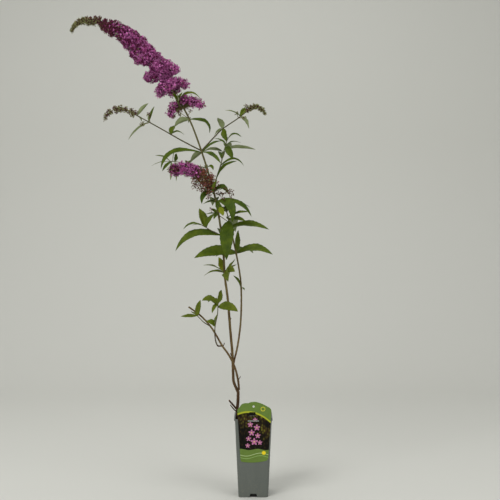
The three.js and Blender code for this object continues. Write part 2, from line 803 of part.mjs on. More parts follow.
/** A leaning plate with a wavy top and a bowed foot, holed, slotted and slit for the strap. */
function makeLabel() {
  const half = LABEL.width / 2;
  const foot = LABEL.foot / 2;
  const { middle, bottom, shoulder, crest, hole, slot, slitSpace } = LABEL;
  const outline = new THREE.Shape();
  outline.moveTo(-foot, bottom + 7);
  outline.quadraticCurveTo(-foot + 0.5, bottom + 1.5, -foot + 5, bottom + 0.8);
  outline.quadraticCurveTo(0, bottom - 3, foot - 7, bottom + 3);
  outline.quadraticCurveTo(foot - 1, bottom + 4.5, foot, bottom + 10);
  outline.lineTo(half, shoulder);
  outline.quadraticCurveTo(half, shoulder + 6, half * 0.9, shoulder + 9);
  outline.quadraticCurveTo(half * 0.4, crest - 2, 2, crest);
  outline.quadraticCurveTo(-half * 0.25, crest, -half * 0.35, crest - 3.5);
  outline.quadraticCurveTo(-half * 0.57, crest - 2, -half * 0.72, crest - 5.5);
  outline.quadraticCurveTo(-half * 0.83, crest - 9, -half * 0.87, crest - 13);
  outline.quadraticCurveTo(-half, crest - 15, -half, shoulder);
  const plate = new THREE.ExtrudeGeometry(outline, {
    depth: LABEL.thickness,
    bevelEnabled: false,
    curveSegments: 6,
  });
  const at = labelFront(shoulder);
  const roundHole = new THREE.CylinderGeometry(hole.radius, hole.radius, THROUGH, 12);
  let made = solid(leanWithLabel(plate.rotateX(Math.PI / 2).translate(middle, 0, 0)));
  made = made.subtract(solid(roundHole.translate(hole.x, at, hole.height)));
  made = made.subtract(block(slot.width, THROUGH, slot.height, slot.x, at, slot.at));
  for (const side of [-1, 1]) {
    const x = (side * (STRAP.width - STRAP.leg)) / 2;
    made = made.subtract(
      block(STRAP.leg + slitSpace, THROUGH, STRAP.height + slitSpace, x, at, STRAP.at),
    );
  }
  return made;
}

/** The staple that holds the label: a bar before it and two legs that reach the lip. */
function makeStrap() {
  const back = labelFront(STRAP.at) - LABEL.thickness - CLEARANCE;
  const middle = back - STRAP.thickness / 2;
  const lip = -POT.rim / 2 - CLEARANCE;
  const bar = block(STRAP.width, STRAP.thickness, STRAP.height, 0, middle, STRAP.at);
  const legs = [-1, 1].map((side) => {
    const x = (side * (STRAP.width - STRAP.leg)) / 2;
    return block(STRAP.leg, lip - middle, STRAP.height, x, (lip + middle) / 2, STRAP.at);
  });
  return fuse([bar, ...legs]);
}

const curves = Object.fromEntries(Object.entries(LIMBS).map(([name, { way }]) => [name, curveOf(way)]));

/** A limb, or with a margin the space that others keep clear of. */
function limbSolid(name, margin = 0) {
  const { radii, flare, step = LIMB_STEP } = LIMBS[name];
  return tubeAlong(curves[name], radii, { sides: LIMB_SIDES, step, flare, margin });
}

const limbSpaces = []; // each limb made so far, with its clearance
const masses = []; // the masses made so far

/** The obstacles whose boxes meet a solid's box. */
function near(made, obstacles) {
  const { min, max } = made.boundingBox();
  return obstacles.filter(({ box }) => [0, 1, 2].every((i) => box.min[i] < max[i] && box.max[i] > min[i]));
}

/** Adds a solid to a list of obstacles. */
function remember(made, list) {
  list.push({ made, box: made.boundingBox() });
}

/** What is left of a solid outside the obstacles. */
function cutClear(made, obstacles) {
  return near(made, obstacles).reduce((left, obstacle) => left.subtract(obstacle.made), made);
}

/** The limbs in turn, each cut clear of the ground and of those before it. */
function makeLimbs() {
  const ground = block(POT.rim, POT.rim, THROUGH, 0, 0, SOIL_LEVEL + CLEARANCE - THROUGH / 2);
  remember(ground, limbSpaces);
  for (const [name, { finish: finishName }] of Object.entries(LIMBS)) {
    addMesh(name, wholeBody(cutClear(limbSolid(name), limbSpaces)), finishName);
    remember(limbSolid(name, CLEARANCE), limbSpaces);
  }
}

/** The leaves of a spray that touch no other mass. */
function bladesFrom(leaves, rootOf) {
  return leaves
    .map((sizes) => blade(rootOf(sizes), sizes))
    .filter((made) => near(made, masses).every((mass) => made.intersect(mass.made).volume() <= TOUCH));
}

/** One mass: its pieces fused, and cut clear of the limbs and of the masses before it. */
function addMass(name, pieces, finishName) {
  const body = wholeBody(cutClear(cutClear(fuse(pieces), limbSpaces), masses));
  addMesh(name, body, finishName);
  remember(body, masses);
}

/** Leaves on a collar round their limb, and on twigs. */
function makeSpray(name, { collar, twigs = [], leaves = [] }) {
  const pieces = [];
  if (collar) {
    const ring = collarOn(collar);
    pieces.push(ring.body);
    pieces.push(...bladesFrom(leaves, ({ tip }) => ring.rootTowards(place(tip))));
  }
  for (const twig of twigs) {
    const curve = curveOf(twig.way);
    pieces.push(tubeAlong(curve, twig.radii, { sides: TWIG_SIDES, step: TWIG_STEP }));
    pieces.push(...bladesFrom(twig.leaves, ({ share }) => curve.getPointAt(share * LEAF_FOOT)));
  }
  addMass(name, pieces, "leaf");
}

/** A core along the axis, with whorls of heads whose pairs turn from one to the next. */
function makeSpike(name, { finish: finishName, way, girth, whorls, arms, bud, seed, lobes }) {
  const random = randomRow(seed);
  const curve = curveOf(way);
  const pieces = [];
  const core = girth.map((value) => value * SPIKE.core);
  pieces.push(tubeAlong(curve, core, { sides: SPIKE.sides, step: SPIKE.step }));
  for (let whorl = 0; whorl < whorls; whorl += 1) {
    const share = (whorl + 0.5) / whorls;
    const centre = curve.getPointAt(share);
    const tangent = curve.getTangentAt(share);
    const halfWidth = valueAlong(girth, share);
    const radius = halfWidth * SPIKE.head;
    for (let arm = 0; arm < arms; arm += 1) {
      const angle = ((arm + 0.5 * (whorl % 2) + SPIKE.swing * random()) / arms) * 2 * Math.PI;
      const reach = (halfWidth - radius) * THREE.MathUtils.lerp(...SPIKE.reach, random());
      const out = squareTo(tangent, angle);
      pieces.push(head(centre.clone().addScaledVector(out, reach), radius, random, bud));
    }
  }
  for (const { place: at, radius } of lobes) {
    const centre = place(at);
    const share = nearestShare(curve, centre);
    pieces.push(head(centre, radius, random));
    pieces.push(stalk(curve.getPointAt(share), centre, [SPIKE.lobeStalk, SPIKE.lobeStalk]));
  }
  addMass(name, pieces, finishName);
}

/** The share of a curve's length that lies nearest to a point. */
function nearestShare(curve, point) {
  const samples = 20;
  let best = 0;
  for (let i = 0; i <= samples; i += 1) {
    const share = i / samples;
    if (curve.getPointAt(share).distanceTo(point) < curve.getPointAt(best).distanceTo(point)) best = share;
  }
  return best;
}

/** Fans of flower heads round a collar. */
function makeWhorl(name, { finish: finishName, collar, seed, fans }) {
  const random = randomRow(seed);
  const ring = collarOn(collar);
  const pieces = [ring.body];
  for (const { heading, reach, lift, drop, heads, radius } of fans) {
    const out = new THREE.Vector3(...heading);
    out.addScaledVector(ring.tangent, -out.dot(ring.tangent)).normalize();
    let from = ring.rootTowards(ring.centre.clone().add(out));
    for (let i = 0; i < heads; i += 1) {
      const share = heads > 1 ? i / (heads - 1) : 0;
      const centre = ring.centre.clone()
        .addScaledVector(out, THREE.MathUtils.lerp(reach[0], reach[1], share))
        .addScaledVector(ring.tangent, THREE.MathUtils.lerp(lift, drop, share ** WHORL.droop));
      pieces.push(stalk(from, centre, [WHORL.stalk, WHORL.stalk]));
      pieces.push(head(centre, radius * (1 - WHORL.shrink * share), random));
      from = centre;
    }
  }
  addMass(name, pieces, finishName);
}

/** A spray of dry stalks, each with a capsule, that leave one stem at its hub. */
function makeCyme(name, { collar, heading, spread, stalks, seed }) {
  const random = randomRow(seed);
  const ring = collarOn(collar);
  const middle = place(heading);
  const hub = ring.rootTowards(middle).lerp(middle, CYME.hub);
  const pieces = [ring.body, stalk(ring.rootTowards(middle), hub, CYME.stem)];
  pieces.push(head(hub, CYME.hubRadius, random));
  for (let i = 0; i < stalks; i += 1) {
    const end = middle.clone().add(new THREE.Vector3(
      (random() - 0.5) * spread,
      (random() - 0.5) * spread,
      (random() - 0.5) * spread * CYME.flatness,
    ));
    pieces.push(stalk(hub, end, CYME.stalk));
    pieces.push(solid(new THREE.OctahedronGeometry(CYME.capsule).translate(end.x, end.y, end.z)));
  }
  addMass(name, pieces, "spent");
}

addMesh("pot", makePot(), "pot");
addMesh("soil", makeSoil(), "soil");
addMesh("label", makeLabel(), "label");
addMesh("label_strap", makeStrap(), "strap");
makeLimbs();
for (const [name, spike] of Object.entries(SPIKES)) makeSpike(name, spike);
for (const [name, whorl] of Object.entries(WHORLS)) makeWhorl(name, whorl);
for (const [name, spray] of Object.entries(SPRAYS)) makeSpray(name, spray);
for (const [name, cyme] of Object.entries(CYMES)) makeCyme(name, cyme);

export default group;
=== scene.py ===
"""A young butterfly bush in flower in its deep square pot: the looks that dress its solids.

The scene is in metres, +Z is up, and -Y is the front. The tables below are in millimetres.
"""

import logging
import math
from collections.abc import Callable, Iterator, Sequence
from contextlib import contextmanager
from dataclasses import dataclass, field
from enum import Enum
from functools import partialmethod

import bmesh
import bpy
import numpy as np
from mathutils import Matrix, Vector


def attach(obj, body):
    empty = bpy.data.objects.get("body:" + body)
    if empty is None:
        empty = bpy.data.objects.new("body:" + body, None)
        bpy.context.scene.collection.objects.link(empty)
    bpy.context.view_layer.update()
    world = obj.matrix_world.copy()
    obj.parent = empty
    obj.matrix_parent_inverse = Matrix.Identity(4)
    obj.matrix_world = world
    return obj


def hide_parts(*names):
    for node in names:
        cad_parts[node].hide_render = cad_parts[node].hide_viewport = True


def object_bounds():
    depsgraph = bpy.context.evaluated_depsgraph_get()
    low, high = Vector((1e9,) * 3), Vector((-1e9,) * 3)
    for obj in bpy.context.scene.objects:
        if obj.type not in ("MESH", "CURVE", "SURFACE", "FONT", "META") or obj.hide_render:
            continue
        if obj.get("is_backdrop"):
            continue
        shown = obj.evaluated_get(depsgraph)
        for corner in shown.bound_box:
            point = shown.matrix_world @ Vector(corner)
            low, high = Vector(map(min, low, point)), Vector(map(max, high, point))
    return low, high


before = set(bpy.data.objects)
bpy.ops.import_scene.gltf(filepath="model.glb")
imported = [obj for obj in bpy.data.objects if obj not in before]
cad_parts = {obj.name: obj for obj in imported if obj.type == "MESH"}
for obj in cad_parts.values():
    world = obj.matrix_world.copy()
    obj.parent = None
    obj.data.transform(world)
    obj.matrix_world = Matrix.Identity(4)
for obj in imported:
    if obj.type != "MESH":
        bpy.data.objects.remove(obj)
log = logging.getLogger("butterfly_bush")

MM = 0.001
Point = tuple[float, float, float]
Colour = tuple[float, float, float, float]
Amount = float | np.ndarray


def rgb(red: int, green: int, blue: int) -> Colour:
    """A screen colour of 0 to 255 as the linear colour that shaders take.

    Args:
        red: Red on the screen.
        green: Green on the screen.
        blue: Blue on the screen.

    Returns:
        The linear colour, opaque.
    """
    linear = [((value / 255 + 0.055) / 1.055) ** 2.4 for value in (red, green, blue)]
    return (linear[0], linear[1], linear[2], 1.0)


# ---------------------------------------------------------------- what the plant is made of
class Tint(Enum):
    """The shade of green of a spray's leaves, which on two leaves also stands in for light and shade."""

    DEEP = "deep"
    MID = "mid"
    OLIVE = "olive"
    FRESH = "fresh"
    YELLOW = "yellow"


class Bloom(Enum):
    """How far on a head of flowers is."""

    OPEN = "open"
    LOOSE = "loose"
    BUDS = "buds"
    BEADS = "beads"
    FADING = "fading"
    DRY = "dry"
    SEED = "seed"


class Part(Enum):
    """A face's place on a leaf or a flower, which picks its material slot."""

    FACE = 0
    BACK = 1
    RIB = 2


@dataclass(frozen=True)
class Limb:
    """One tapering limb.

    Attributes:
        way: Points along its middle.
        radii: Its radius at foot and tip.
        flare: How much wider its foot is, as a share.
        young: Whether it is a green shoot and not brown wood.
    """

    way: tuple[Point, ...]
    radii: tuple[float, float]
    flare: float = 0.0
    young: bool = False


@dataclass(frozen=True)
class Leaf:
    """One leaf.

    Attributes:
        tip: Where its tip is.
        rise: How far its middle rises over the straight line to the tip.
        width: Its widest breadth.
        turn: Degrees by which its upper face turns to the front.
        share: Where on its twig it roots, as a share of the twig's length.
        crest: Where the arch is steepest, from 0 at the root to 1 at the tip.
        tint: Its shade, where it isn't its spray's.
    """

    tip: Point
    rise: float
    width: float
    turn: float
    share: float = 0.0
    crest: float = 0.55
    tint: Tint | None = None


@dataclass(frozen=True)
class Twig:
    """A thin stem with its own leaves."""

    way: tuple[Point, ...]
    radii: tuple[float, float]
    leaves: tuple[Leaf, ...] = ()


@dataclass(frozen=True)
class Collar:
    """The node of a limb, at a height, that leaves or flower stalks spring from."""

    limb: str
    height: float


@dataclass(frozen=True)
class Spray:
    """One mass of leaves, round a node of a limb, on a twig, or both."""

    collar: Collar | None = None
    leaves: tuple[Leaf, ...] = ()
    twig: Twig | None = None
    tint: Tint = Tint.MID


@dataclass(frozen=True)
class Lobe:
    """A side head that hangs out of a spike."""

    place: Point
    radius: float


@dataclass(frozen=True)
class Spike:
    """A flower spike: its axis, its half width at even steps, and its whorls of heads.

    A fringe is of lobes that have gone to seed. One that is young is that much further from opening.
    Its seed picks where the heads of its whorls stand. Buds stand as their habit says, and have none.
    """

    way: tuple[Point, ...]
    girth: tuple[float, ...]
    bloom: Bloom
    whorls: int = 0
    arms: int = 0
    seed: int = 0
    lobes: tuple[Lobe, ...] = ()
    fringe: tuple[Lobe, ...] = ()
    young: float = 0.0


@dataclass(frozen=True)
class Tuft:
    """A small cluster on a stalk of its own.

    Attributes:
        node: The spike, whorl or cyme that it belongs to.
        foot: Where its stalk springs from.
        place: Its middle.
        radius: Its radius.
        bloom: What it is made of.
    """

    node: str
    foot: Point
    place: Point
    radius: float
    bloom: Bloom = Bloom.BEADS


@dataclass(frozen=True)
class Fan:
    """A row of heads on one stalk, out from the stem towards a heading."""

    heading: Point
    reach: tuple[float, float]
    lift: float
    drop: float
    heads: int
    radius: float


@dataclass(frozen=True)
class Whorl:
    """Fans of flower heads round a node."""

    collar: Collar
    seed: int
    fans: tuple[Fan, ...]


@dataclass(frozen=True)
class Cyme:
    """Dry stalks with capsules that leave one stem at its hub."""

    collar: Collar
    heading: Point
    spread: float
    stalks: int
    seed: int


# ---------------------------------------------------------------- the plant's sizes
LIMBS = {
    "trunk": Limb(
        ((-35.8, 6, 166), (-37.3, 6, 199), (-35.8, 4, 217), (-35.6, 2, 238)), (3.5, 3.3), flare=0.5,
    ),
    "main_stem": Limb(
        (
            (-37, 2, 238.6), (-46, 3, 261), (-47.6, 3, 290), (-49, 2, 325), (-54, 0, 382), (-60, 0, 455),
            (-67, 2, 510), (-70, 0, 560), (-76, -2, 618), (-92.5, -2, 705), (-121, 0, 800),
            (-150, -1, 877), (-176, -2, 924), (-205, 0, 968),
        ),
        (3, 1.5),
    ),
    "right_stem": Limb(
        (
            (-46.5, 5, 303), (-37, 8, 344), (-30, 8, 397), (-28, 6, 460), (-30, 4, 501), (-40, 4, 561),
            (-53.8, 4, 622),
        ),
        (2, 1.6),
    ),
    "left_branch": Limb(
        (
            (-33.5, -1, 241), (-35.5, -5, 262), (-43, -8, 293), (-56, -10, 321), (-73, -10, 345),
            (-89, -8, 373), (-101, -6, 391), (-123, -2, 415), (-152, 4, 436.5),
        ),
        (2.3, 1.7),
    ),
    "dead_stub": Limb(((-37, 5, 194), (-45, 2, 203), (-57, -3, 217)), (2.1, 1.7)),
    "thin_dead_stub": Limb(((-37, 4, 188), (-44, -3, 194), (-54, -8, 206)), (1.2, 0.9)),
    "upper_left_branch": Limb(
        ((-121.5, 0, 803), (-164, -6, 825), (-208, -12, 850), (-242, -16, 869), (-279, -20, 889)),
        (1.4, 0.9), young=True,
    ),
    "upper_right_branch": Limb(
        ((-121, 0, 804), (-91, -4, 836), (-74, -8, 853), (-35, -14, 880), (-16, -16, 895)), (1.4, 0.9),
        young=True,
    ),
}

SPRAYS = {
    "lower_left_spray": Spray(
        tint=Tint.OLIVE,
        twig=Twig(
            (
                (-73, -10, 345), (-83, -14, 345), (-89, -18, 360), (-90, -22, 388), (-84, -25, 420),
                (-83, -26, 446),
            ),
            (1.3, 0.8),
            (
                Leaf((-121, -50, 451), 8, 20, 45, 0.97), Leaf((-74, 5, 476), 3, 15, 60, 1),
                Leaf((-36, -38, 425), 6, 22, 60, 0.93), Leaf((-97, -45, 421), 4, 9, 30, 1),
                Leaf((-106, 40, 447), 9, 18, 10, 0.95),
                Leaf((-110, -30, 402), 4, 15, 60, 0.52, tint=Tint.FRESH),
                Leaf((-84, -30, 420), 2, 13, 62, 0.52, tint=Tint.FRESH),
            ),
        ),
    ),
    "lower_left_twig": Spray(
        tint=Tint.OLIVE,
        twig=Twig(
            ((-101, -6, 391), (-116, -17, 400), (-133, -20, 417)), (1, 0.6),
            (
                Leaf((-171, -35, 414), 0, 10, 50, 0.97), Leaf((-124, -8, 453), 3, 13, 15, 0.95),
                Leaf((-145, -22, 423), 1, 6, 40, 1),
            ),
        ),
    ),
    "lower_node_leaves": Spray(
        tint=Tint.OLIVE, collar=Collar("main_stem", 516),
        leaves=(
            Leaf((-117, 25, 508), 7, 13, 20), Leaf((-118, -25, 534), 6, 12, 15),
            # The leaf that leans back takes the yellow tint: partly its own yellower green, partly painted
            # light that makes up for the shade it gets.
            Leaf((-82, 22, 553), 3, 16, 65, tint=Tint.YELLOW), Leaf((-42, -22, 550), -2, 13, 55),
            Leaf((-39, 28, 536), 2, 8, 20), Leaf((-43, -60, 519), 6, 20, 62),
            Leaf((-59, -62, 495), 8, 20, 50), Leaf((-60, 84, 500), 14, 20, 0),
        ),
    ),
    "right_stem_leaf": Spray(
        collar=Collar("right_stem", 480),
        leaves=(Leaf((-47, -12, 510), 3, 12, 60), Leaf((-21, 2, 475), 2, 6, 20)),
    ),
    "right_node_leaves": Spray(
        collar=Collar("right_stem", 561),
        leaves=(
            Leaf((46, -18, 559), 13, 24, 45), Leaf((-139, -30, 551), 10, 27, 62),
            Leaf((-35, 22, 617), 4, 15, 50), Leaf((0, 92, 562), 12, 22, 0),
            Leaf((-88, 84, 554), 10, 22, 0),
        ),
    ),
    "crown_front_leaves": Spray(
        twig=Twig(
            ((-54, 4, 622.8), (-57, 4, 636.4), (-60, 4, 650), (-64, 6, 665)), (1.5, 0.8),
            (
                # The front leaf takes the deep tint as painted shade, for the dark shading on its lower half.
                Leaf((-63, -42, 546), 14, 33, 0, 0.39, tint=Tint.DEEP),
                Leaf((37, -25, 618), 9, 20, 45, 0.04), Leaf((-10, -60, 660), 3, 12, 40, 0.6),
                Leaf((-18, -48, 638), 3, 14, 40, 0.46), Leaf((-42, 96, 612), 16, 26, 0, 0.43),
                Leaf((-74, 80, 666), 8, 22, 10, 0.87),
            ),
        ),
    ),
    "crown_upper_leaves": Spray(
        tint=Tint.DEEP, collar=Collar("main_stem", 684),
        leaves=(
            Leaf((-4, -18, 648), 16, 18, 35, crest=0.6), Leaf((-7, 30, 670), 8, 14, 25),
            Leaf((-50, -40, 634), 24, 24, 40, crest=0.6), Leaf((-70, -46, 656), 0, 15, 60),
            Leaf((-118, 10, 678), 2, 14, 25), Leaf((-96, 84, 674), 12, 22, 0),
            Leaf((-62, 88, 670), 6, 22, 0),
        ),
        twig=Twig(
            ((-86, -2, 676), (-83, -24, 673), (-80, -44, 670)), (0.8, 0.5),
            (Leaf((-71, -50, 650), 2, 13, 60, 1, tint=Tint.YELLOW),),
        ),
    ),
    "mid_left_spray": Spray(
        collar=Collar("main_stem", 604),
        leaves=(Leaf((-183, -15, 567), 23, 22, 50, crest=0.6), Leaf((-71, 96, 598), 16, 24, 0)),
        twig=Twig(
            ((-78.5, -2, 605), (-96, -6, 614), (-111, -9, 623), (-122, -10, 629)), (1, 0.6),
            (
                Leaf((-127, 0, 668), 2, 22, 20, 0.85, tint=Tint.OLIVE),
                Leaf((-91, -14, 656), 2, 13, 65, 0.8), Leaf((-165, -22, 618), 8, 11, 25, 1),
                Leaf((-144, 12, 628), 2, 8, 20, 0.98), Leaf((-113, 38, 644), 5, 16, 20, 0.75),
            ),
        ),
    ),
    "mid_small_leaves": Spray(
        collar=Collar("main_stem", 655),
        leaves=(
            Leaf((-113, -8, 654), 1, 8, 20), Leaf((-93, -56, 642), 5, 11, 30),
            Leaf((-99, 6, 668), 1, 7, 50),
        ),
        twig=Twig(((-83, -2, 653), (-73, -2, 646), (-61, 0, 638)), (0.7, 0.5)),
    ),
    "under_spike_leaves": Spray(
        tint=Tint.DEEP, collar=Collar("main_stem", 706),
        leaves=(
            Leaf((-121, -15, 678), 11, 15, 45), Leaf((-57, -10, 700), 14, 16, 50, crest=0.45),
            Leaf((-104, 84, 726), 6, 20, 0), Leaf((-114, 70, 710), 8, 18, 0),
        ),
        twig=Twig(
            ((-94, -2, 703), (-95, -16, 702), (-95, -31, 707)), (0.9, 0.7),
            (Leaf((-85, -28, 735), 2, 11, 62, 0.8, tint=Tint.MID),),
        ),
    ),
    "upper_curl_leaves": Spray(
        collar=Collar("main_stem", 764),
        leaves=(Leaf((-94, -8, 757), 6, 9, 40), Leaf((-112, 36, 762), 5, 9, 20)),
    ),
    "left_rear_spray": Spray(
        tint=Tint.DEEP,
        twig=Twig(
            ((-108, 0, 762), (-125, 18, 766), (-150, 34, 770), (-184, 48, 778), (-196, 52, 778)),
            (1.1, 0.7),
            (
                Leaf((-231, 60, 792), 4, 9, -25, 1), Leaf((-240, 48, 767), 4, 7, 10, 1),
                Leaf((-214, 38, 755), 2, 9, 40, 0.98), Leaf((-195, 64, 734), -3, 11, -50, 0.98),
                Leaf((-180, 64, 797), 1, 12, 60, 0.9), Leaf((-181, 66, 731), 5, 10, 40, 0.9),
                Leaf((-183, 42, 812), 1, 6, 60, 0.95), Leaf((-150, 78, 770), 8, 13, 0, 0.6),
            ),
        ),
    ),
    "right_spray": Spray(
        tint=Tint.DEEP,
        twig=Twig(
            (
                (-93.4, 0.6, 710), (-86, 10, 740), (-76, 14, 772), (-70, 16, 799), (-64, 18, 820),
                (-61, 18, 836),
            ),
            (1.4, 0.7),
            (
                Leaf((-38, -5, 779), 9, 15, 45, 0.24), Leaf((-22, 20, 767), 16, 11, 35, 0.48, crest=0.65),
                Leaf((-27, 5, 835), 12, 11, 30, 0.93), Leaf((-28, 32, 821), 6, 8, 15, 0.86),
                Leaf((-48, -12, 782), 5, 17, 60, 0.83), Leaf((6, 22, 806), 4, 12, -35, 0.8),
                Leaf((-92, 32, 832), 3, 9, 20, 0.88), Leaf((-76, 84, 794), 10, 16, 0, 0.6),
                Leaf((-54, 88, 798), 12, 18, 0, 0.84),
            ),
        ),
    ),
    "fork_leaves": Spray(
        tint=Tint.DEEP, collar=Collar("main_stem", 799),
        leaves=(
            Leaf((-217, -30, 760), 24, 19, 35, crest=0.72), Leaf((-149, 62, 774), 6, 13, -40),
            Leaf((-63, 47, 826), 8, 10, 22), Leaf((-76, -56, 773), 7, 13, 25),
            Leaf((-71, 72, 801), 6, 13, -30),
        ),
    ),
    "upper_right_leaves": Spray(
        collar=Collar("upper_right_branch", 853),
        leaves=(
            Leaf((-84, -28, 881), 2, 17, 0), Leaf((-64, -24, 826), 2, 16, 60),
            Leaf((-92, -22, 838), 2, 11, -40),
        ),
    ),
    "upper_right_tip_leaves": Spray(
        tint=Tint.OLIVE, collar=Collar("upper_right_branch", 881),
        leaves=(
            Leaf((-67, -24, 898), 4, 8, 25), Leaf((-10, -26, 855), 3, 16, -50),
            Leaf((-12, 8, 901), 5, 12, 50, tint=Tint.FRESH), Leaf((-40, -22, 893), 1, 5, 40),
        ),
    ),
    "upper_left_leaves": Spray(
        collar=Collar("upper_left_branch", 840),
        leaves=(Leaf((-184, 10, 863), 3, 15, 0), Leaf((-162, 4, 840), 7, 9, 30)),
    ),
    "bud_branch_leaves": Spray(
        collar=Collar("upper_left_branch", 868),
        leaves=(
            Leaf((-232, -6, 908), 2, 6, 55), Leaf((-294, -28, 828), 5, 8, -35),
            Leaf((-246, -26, 889), 1, 5, 40),
        ),
    ),
    "bud_leaf": Spray(
        tint=Tint.OLIVE, collar=Collar("upper_left_branch", 882),
        leaves=(Leaf((-246, -30, 915), 3, 9, -50), Leaf((-262, 12, 872), 3, 8, 20)),
    ),
    "top_node_leaves": Spray(
        tint=Tint.DEEP, collar=Collar("main_stem", 876),
        leaves=(
            Leaf((-186, -18, 858), 6, 16, -55), Leaf((-103, 12, 844), 16, 15, 45, crest=0.75),
            Leaf((-152, 46, 868), 8, 9, 0),
        ),
    ),
    "bract_leaves": Spray(
        tint=Tint.FRESH, collar=Collar("main_stem", 922),
        leaves=(Leaf((-123, 14, 924), 15, 13, 35, crest=0.6),),
        twig=Twig(
            ((-171, -8, 906), (-177, -14, 916), (-179, -14, 928)), (1.9, 1.7),
            (
                Leaf((-191, -22, 939), 2, 14, 68, 0.3), Leaf((-180, -26, 943), 1, 13, 72, 0.4),
                Leaf((-166, -24, 941), 1, 14, 68, 0.5),
            ),
        ),
    ),
}

SPIKES = {
    "main_spike": Spike(
        (
            (-205.4, 0, 968.6), (-214, 0, 993), (-236, -3, 1021), (-262, -5, 1044), (-289, -6, 1065),
            (-311, -6, 1084), (-334, -5, 1097),
        ),
        girth=(14, 25, 20, 22, 27, 20, 15), whorls=8, arms=4, bloom=Bloom.OPEN, seed=11,
        lobes=(
            Lobe((-243, -6, 976), 15), Lobe((-233, -8, 998), 11), Lobe((-184, 2, 995), 11),
            Lobe((-201, -4, 1006), 11), Lobe((-268, -8, 1019), 14), Lobe((-279, -8, 1032), 13),
            Lobe((-256, -14, 1013), 11), Lobe((-214, -24, 994), 11), Lobe((-212, 24, 993), 12),
            Lobe((-250, 22, 1020), 11),
        ),
    ),
    "spike_tip": Spike(
        (
            (-335, -5, 1097.5), (-359, -5, 1105), (-384, -4, 1110), (-407, -2, 1107), (-421, 0, 1096),
            (-427, 1, 1082),
        ),
        girth=(14.5, 13, 12, 10.5, 8.5, 5.5), bloom=Bloom.BUDS,
        lobes=(
            Lobe((-333, -8, 1077), 6), Lobe((-346, -10, 1084), 4.5), Lobe((-353, -4, 1090), 4.5),
            Lobe((-388, -5, 1101), 3),
        ),
    ),
    "mid_spike": Spike(
        ((-131, -24, 752), (-149, -28, 759), (-170, -30, 761), (-192, -30, 757)), girth=(15, 17, 16, 14),
        whorls=4, arms=3, bloom=Bloom.FADING, seed=13,
    ),
    "spent_flowers": Spike(
        ((-96, -4, 715), (-104, -13, 727), (-116, -20, 741), (-129.5, -24, 751)), girth=(11, 19, 20, 16),
        whorls=3, arms=4, bloom=Bloom.DRY, seed=14, lobes=(Lobe((-99, -16, 716), 9),),
        fringe=(
            Lobe((-136, -18, 724), 9), Lobe((-122, -24, 714), 9), Lobe((-140, -22, 736), 6),
            Lobe((-104, -22, 703), 7), Lobe((-107, -22, 693), 4), Lobe((-86, -14, 728), 5),
            Lobe((-127, -22, 765), 5), Lobe((-112, -20, 757), 5),
        ),
    ),
    "left_bud_spike": Spike(
        ((-279.6, -20, 889.4), (-297, -21, 899), (-319, -21, 902), (-340, -20, 892), (-352, -18, 871)),
        girth=(8, 10, 10.5, 9, 5.5), bloom=Bloom.BEADS,
    ),
    "right_bud_spike": Spike(
        ((-15.6, -16, 895.6), (-5, -16, 904), (8, -16, 907), (21, -15, 899), (29, -14, 889)),
        girth=(6.5, 8.5, 8.5, 7, 4.5), bloom=Bloom.BUDS, young=0.42,
    ),
}

WHORLS = {
    "upper_whorl": Whorl(
        Collar("main_stem", 950), seed=21,
        fans=(
            Fan((-1, -0.1, 0), (12, 26), 9, 3, 2, 12), Fan((1, -0.1, 0), (11, 30), 6, -13, 3, 11),
            Fan((0.1, -1, -0.2), (12, 28), 2, -5, 2, 11), Fan((0.1, 1, 0), (12, 32), 6, -3, 2, 12),
        ),
    ),
    "lower_whorl": Whorl(
        Collar("main_stem", 902), seed=22,
        fans=(
            Fan((-1, -0.2, 0), (16, 33), 13, 1, 3, 8.5), Fan((1, -0.2, 0), (9, 38), 12, -14, 4, 10.5),
            Fan((0.5, 1, 0), (14, 36), 16, 8, 3, 10), Fan((-0.5, 1, 0), (14, 28), 14, 8, 2, 8),
        ),
    ),
}

# Clusters too small to be solids of their own.
TUFTS = (
    Tuft("left_bud_spike", (-272, -19, 885), (-275.7, -22, 893), 3.4),
    Tuft("left_bud_spike", (-279, -20, 888), (-284, -22, 886), 3.6),
    Tuft("left_bud_spike", (-242, -16, 869), (-246.3, -20, 888), 3.6),
    Tuft("left_bud_spike", (-246, -18, 868), (-260.9, -22, 866), 3.8),
    Tuft("right_bud_spike", (-35, -14, 880), (-39, -16, 892), 2.4),
    Tuft("right_bud_spike", (-35, -14, 880), (-20, -20, 881), 2.6),
    Tuft("right_bud_spike", (-16, -16, 895), (-17, -20, 908), 3.0),
    Tuft("lower_whorl", (-155, -3, 881), (-177, -10, 896), 3.0),
    Tuft("lower_whorl", (-155, -3, 881), (-148, -12, 897), 2.6),
    Tuft("lower_whorl", (-177, -10, 896), (-187, -12, 882), 2.2),
    Tuft("lower_whorl", (-166, -2, 904), (-173, -8, 888), 2.4),
    Tuft("spent_cyme", (-84, -2, 655), (-99, -10, 665), 4.0, Bloom.SEED),
    Tuft("spent_cyme", (-92, -2, 707), (-68, -10, 716), 2.0, Bloom.SEED),
    Tuft("spent_cyme", (-68, -10, 716), (-61, -12, 711), 2.4, Bloom.SEED),
    Tuft("spent_cyme", (-61, -12, 711), (-57, -13, 703), 2.0, Bloom.SEED),
    Tuft("spent_cyme", (-57, -13, 703), (-54, -14, 694), 2.6, Bloom.SEED),
)

# Short dead ends and a dark loop on the lower wood.
SPURS = (
    Twig(((-36, -5, 263), (-33.5, -6, 267), (-30, -7, 273)), (1.2, 0.7)),
    Twig(((-49, 2, 314), (-51.5, 1, 322), (-54, 0, 328)), (1.3, 0.8)),
    Twig(((-73, -10, 344), (-69.5, -10, 346.5), (-67.5, -10, 352)), (1.4, 0.8)),
    Twig(((-56.5, 0, 403), (-54, -1, 406), (-52, -1, 410)), (1.5, 0.9)),
    Twig(((-135, 0, 421), (-140, -2, 422), (-146, -4, 426)), (1.0, 0.6)),
    Twig(((-73, -10, 345), (-83, -14, 345), (-89, -18, 360), (-90, -22, 378)), (1.9, 1.25)),
)

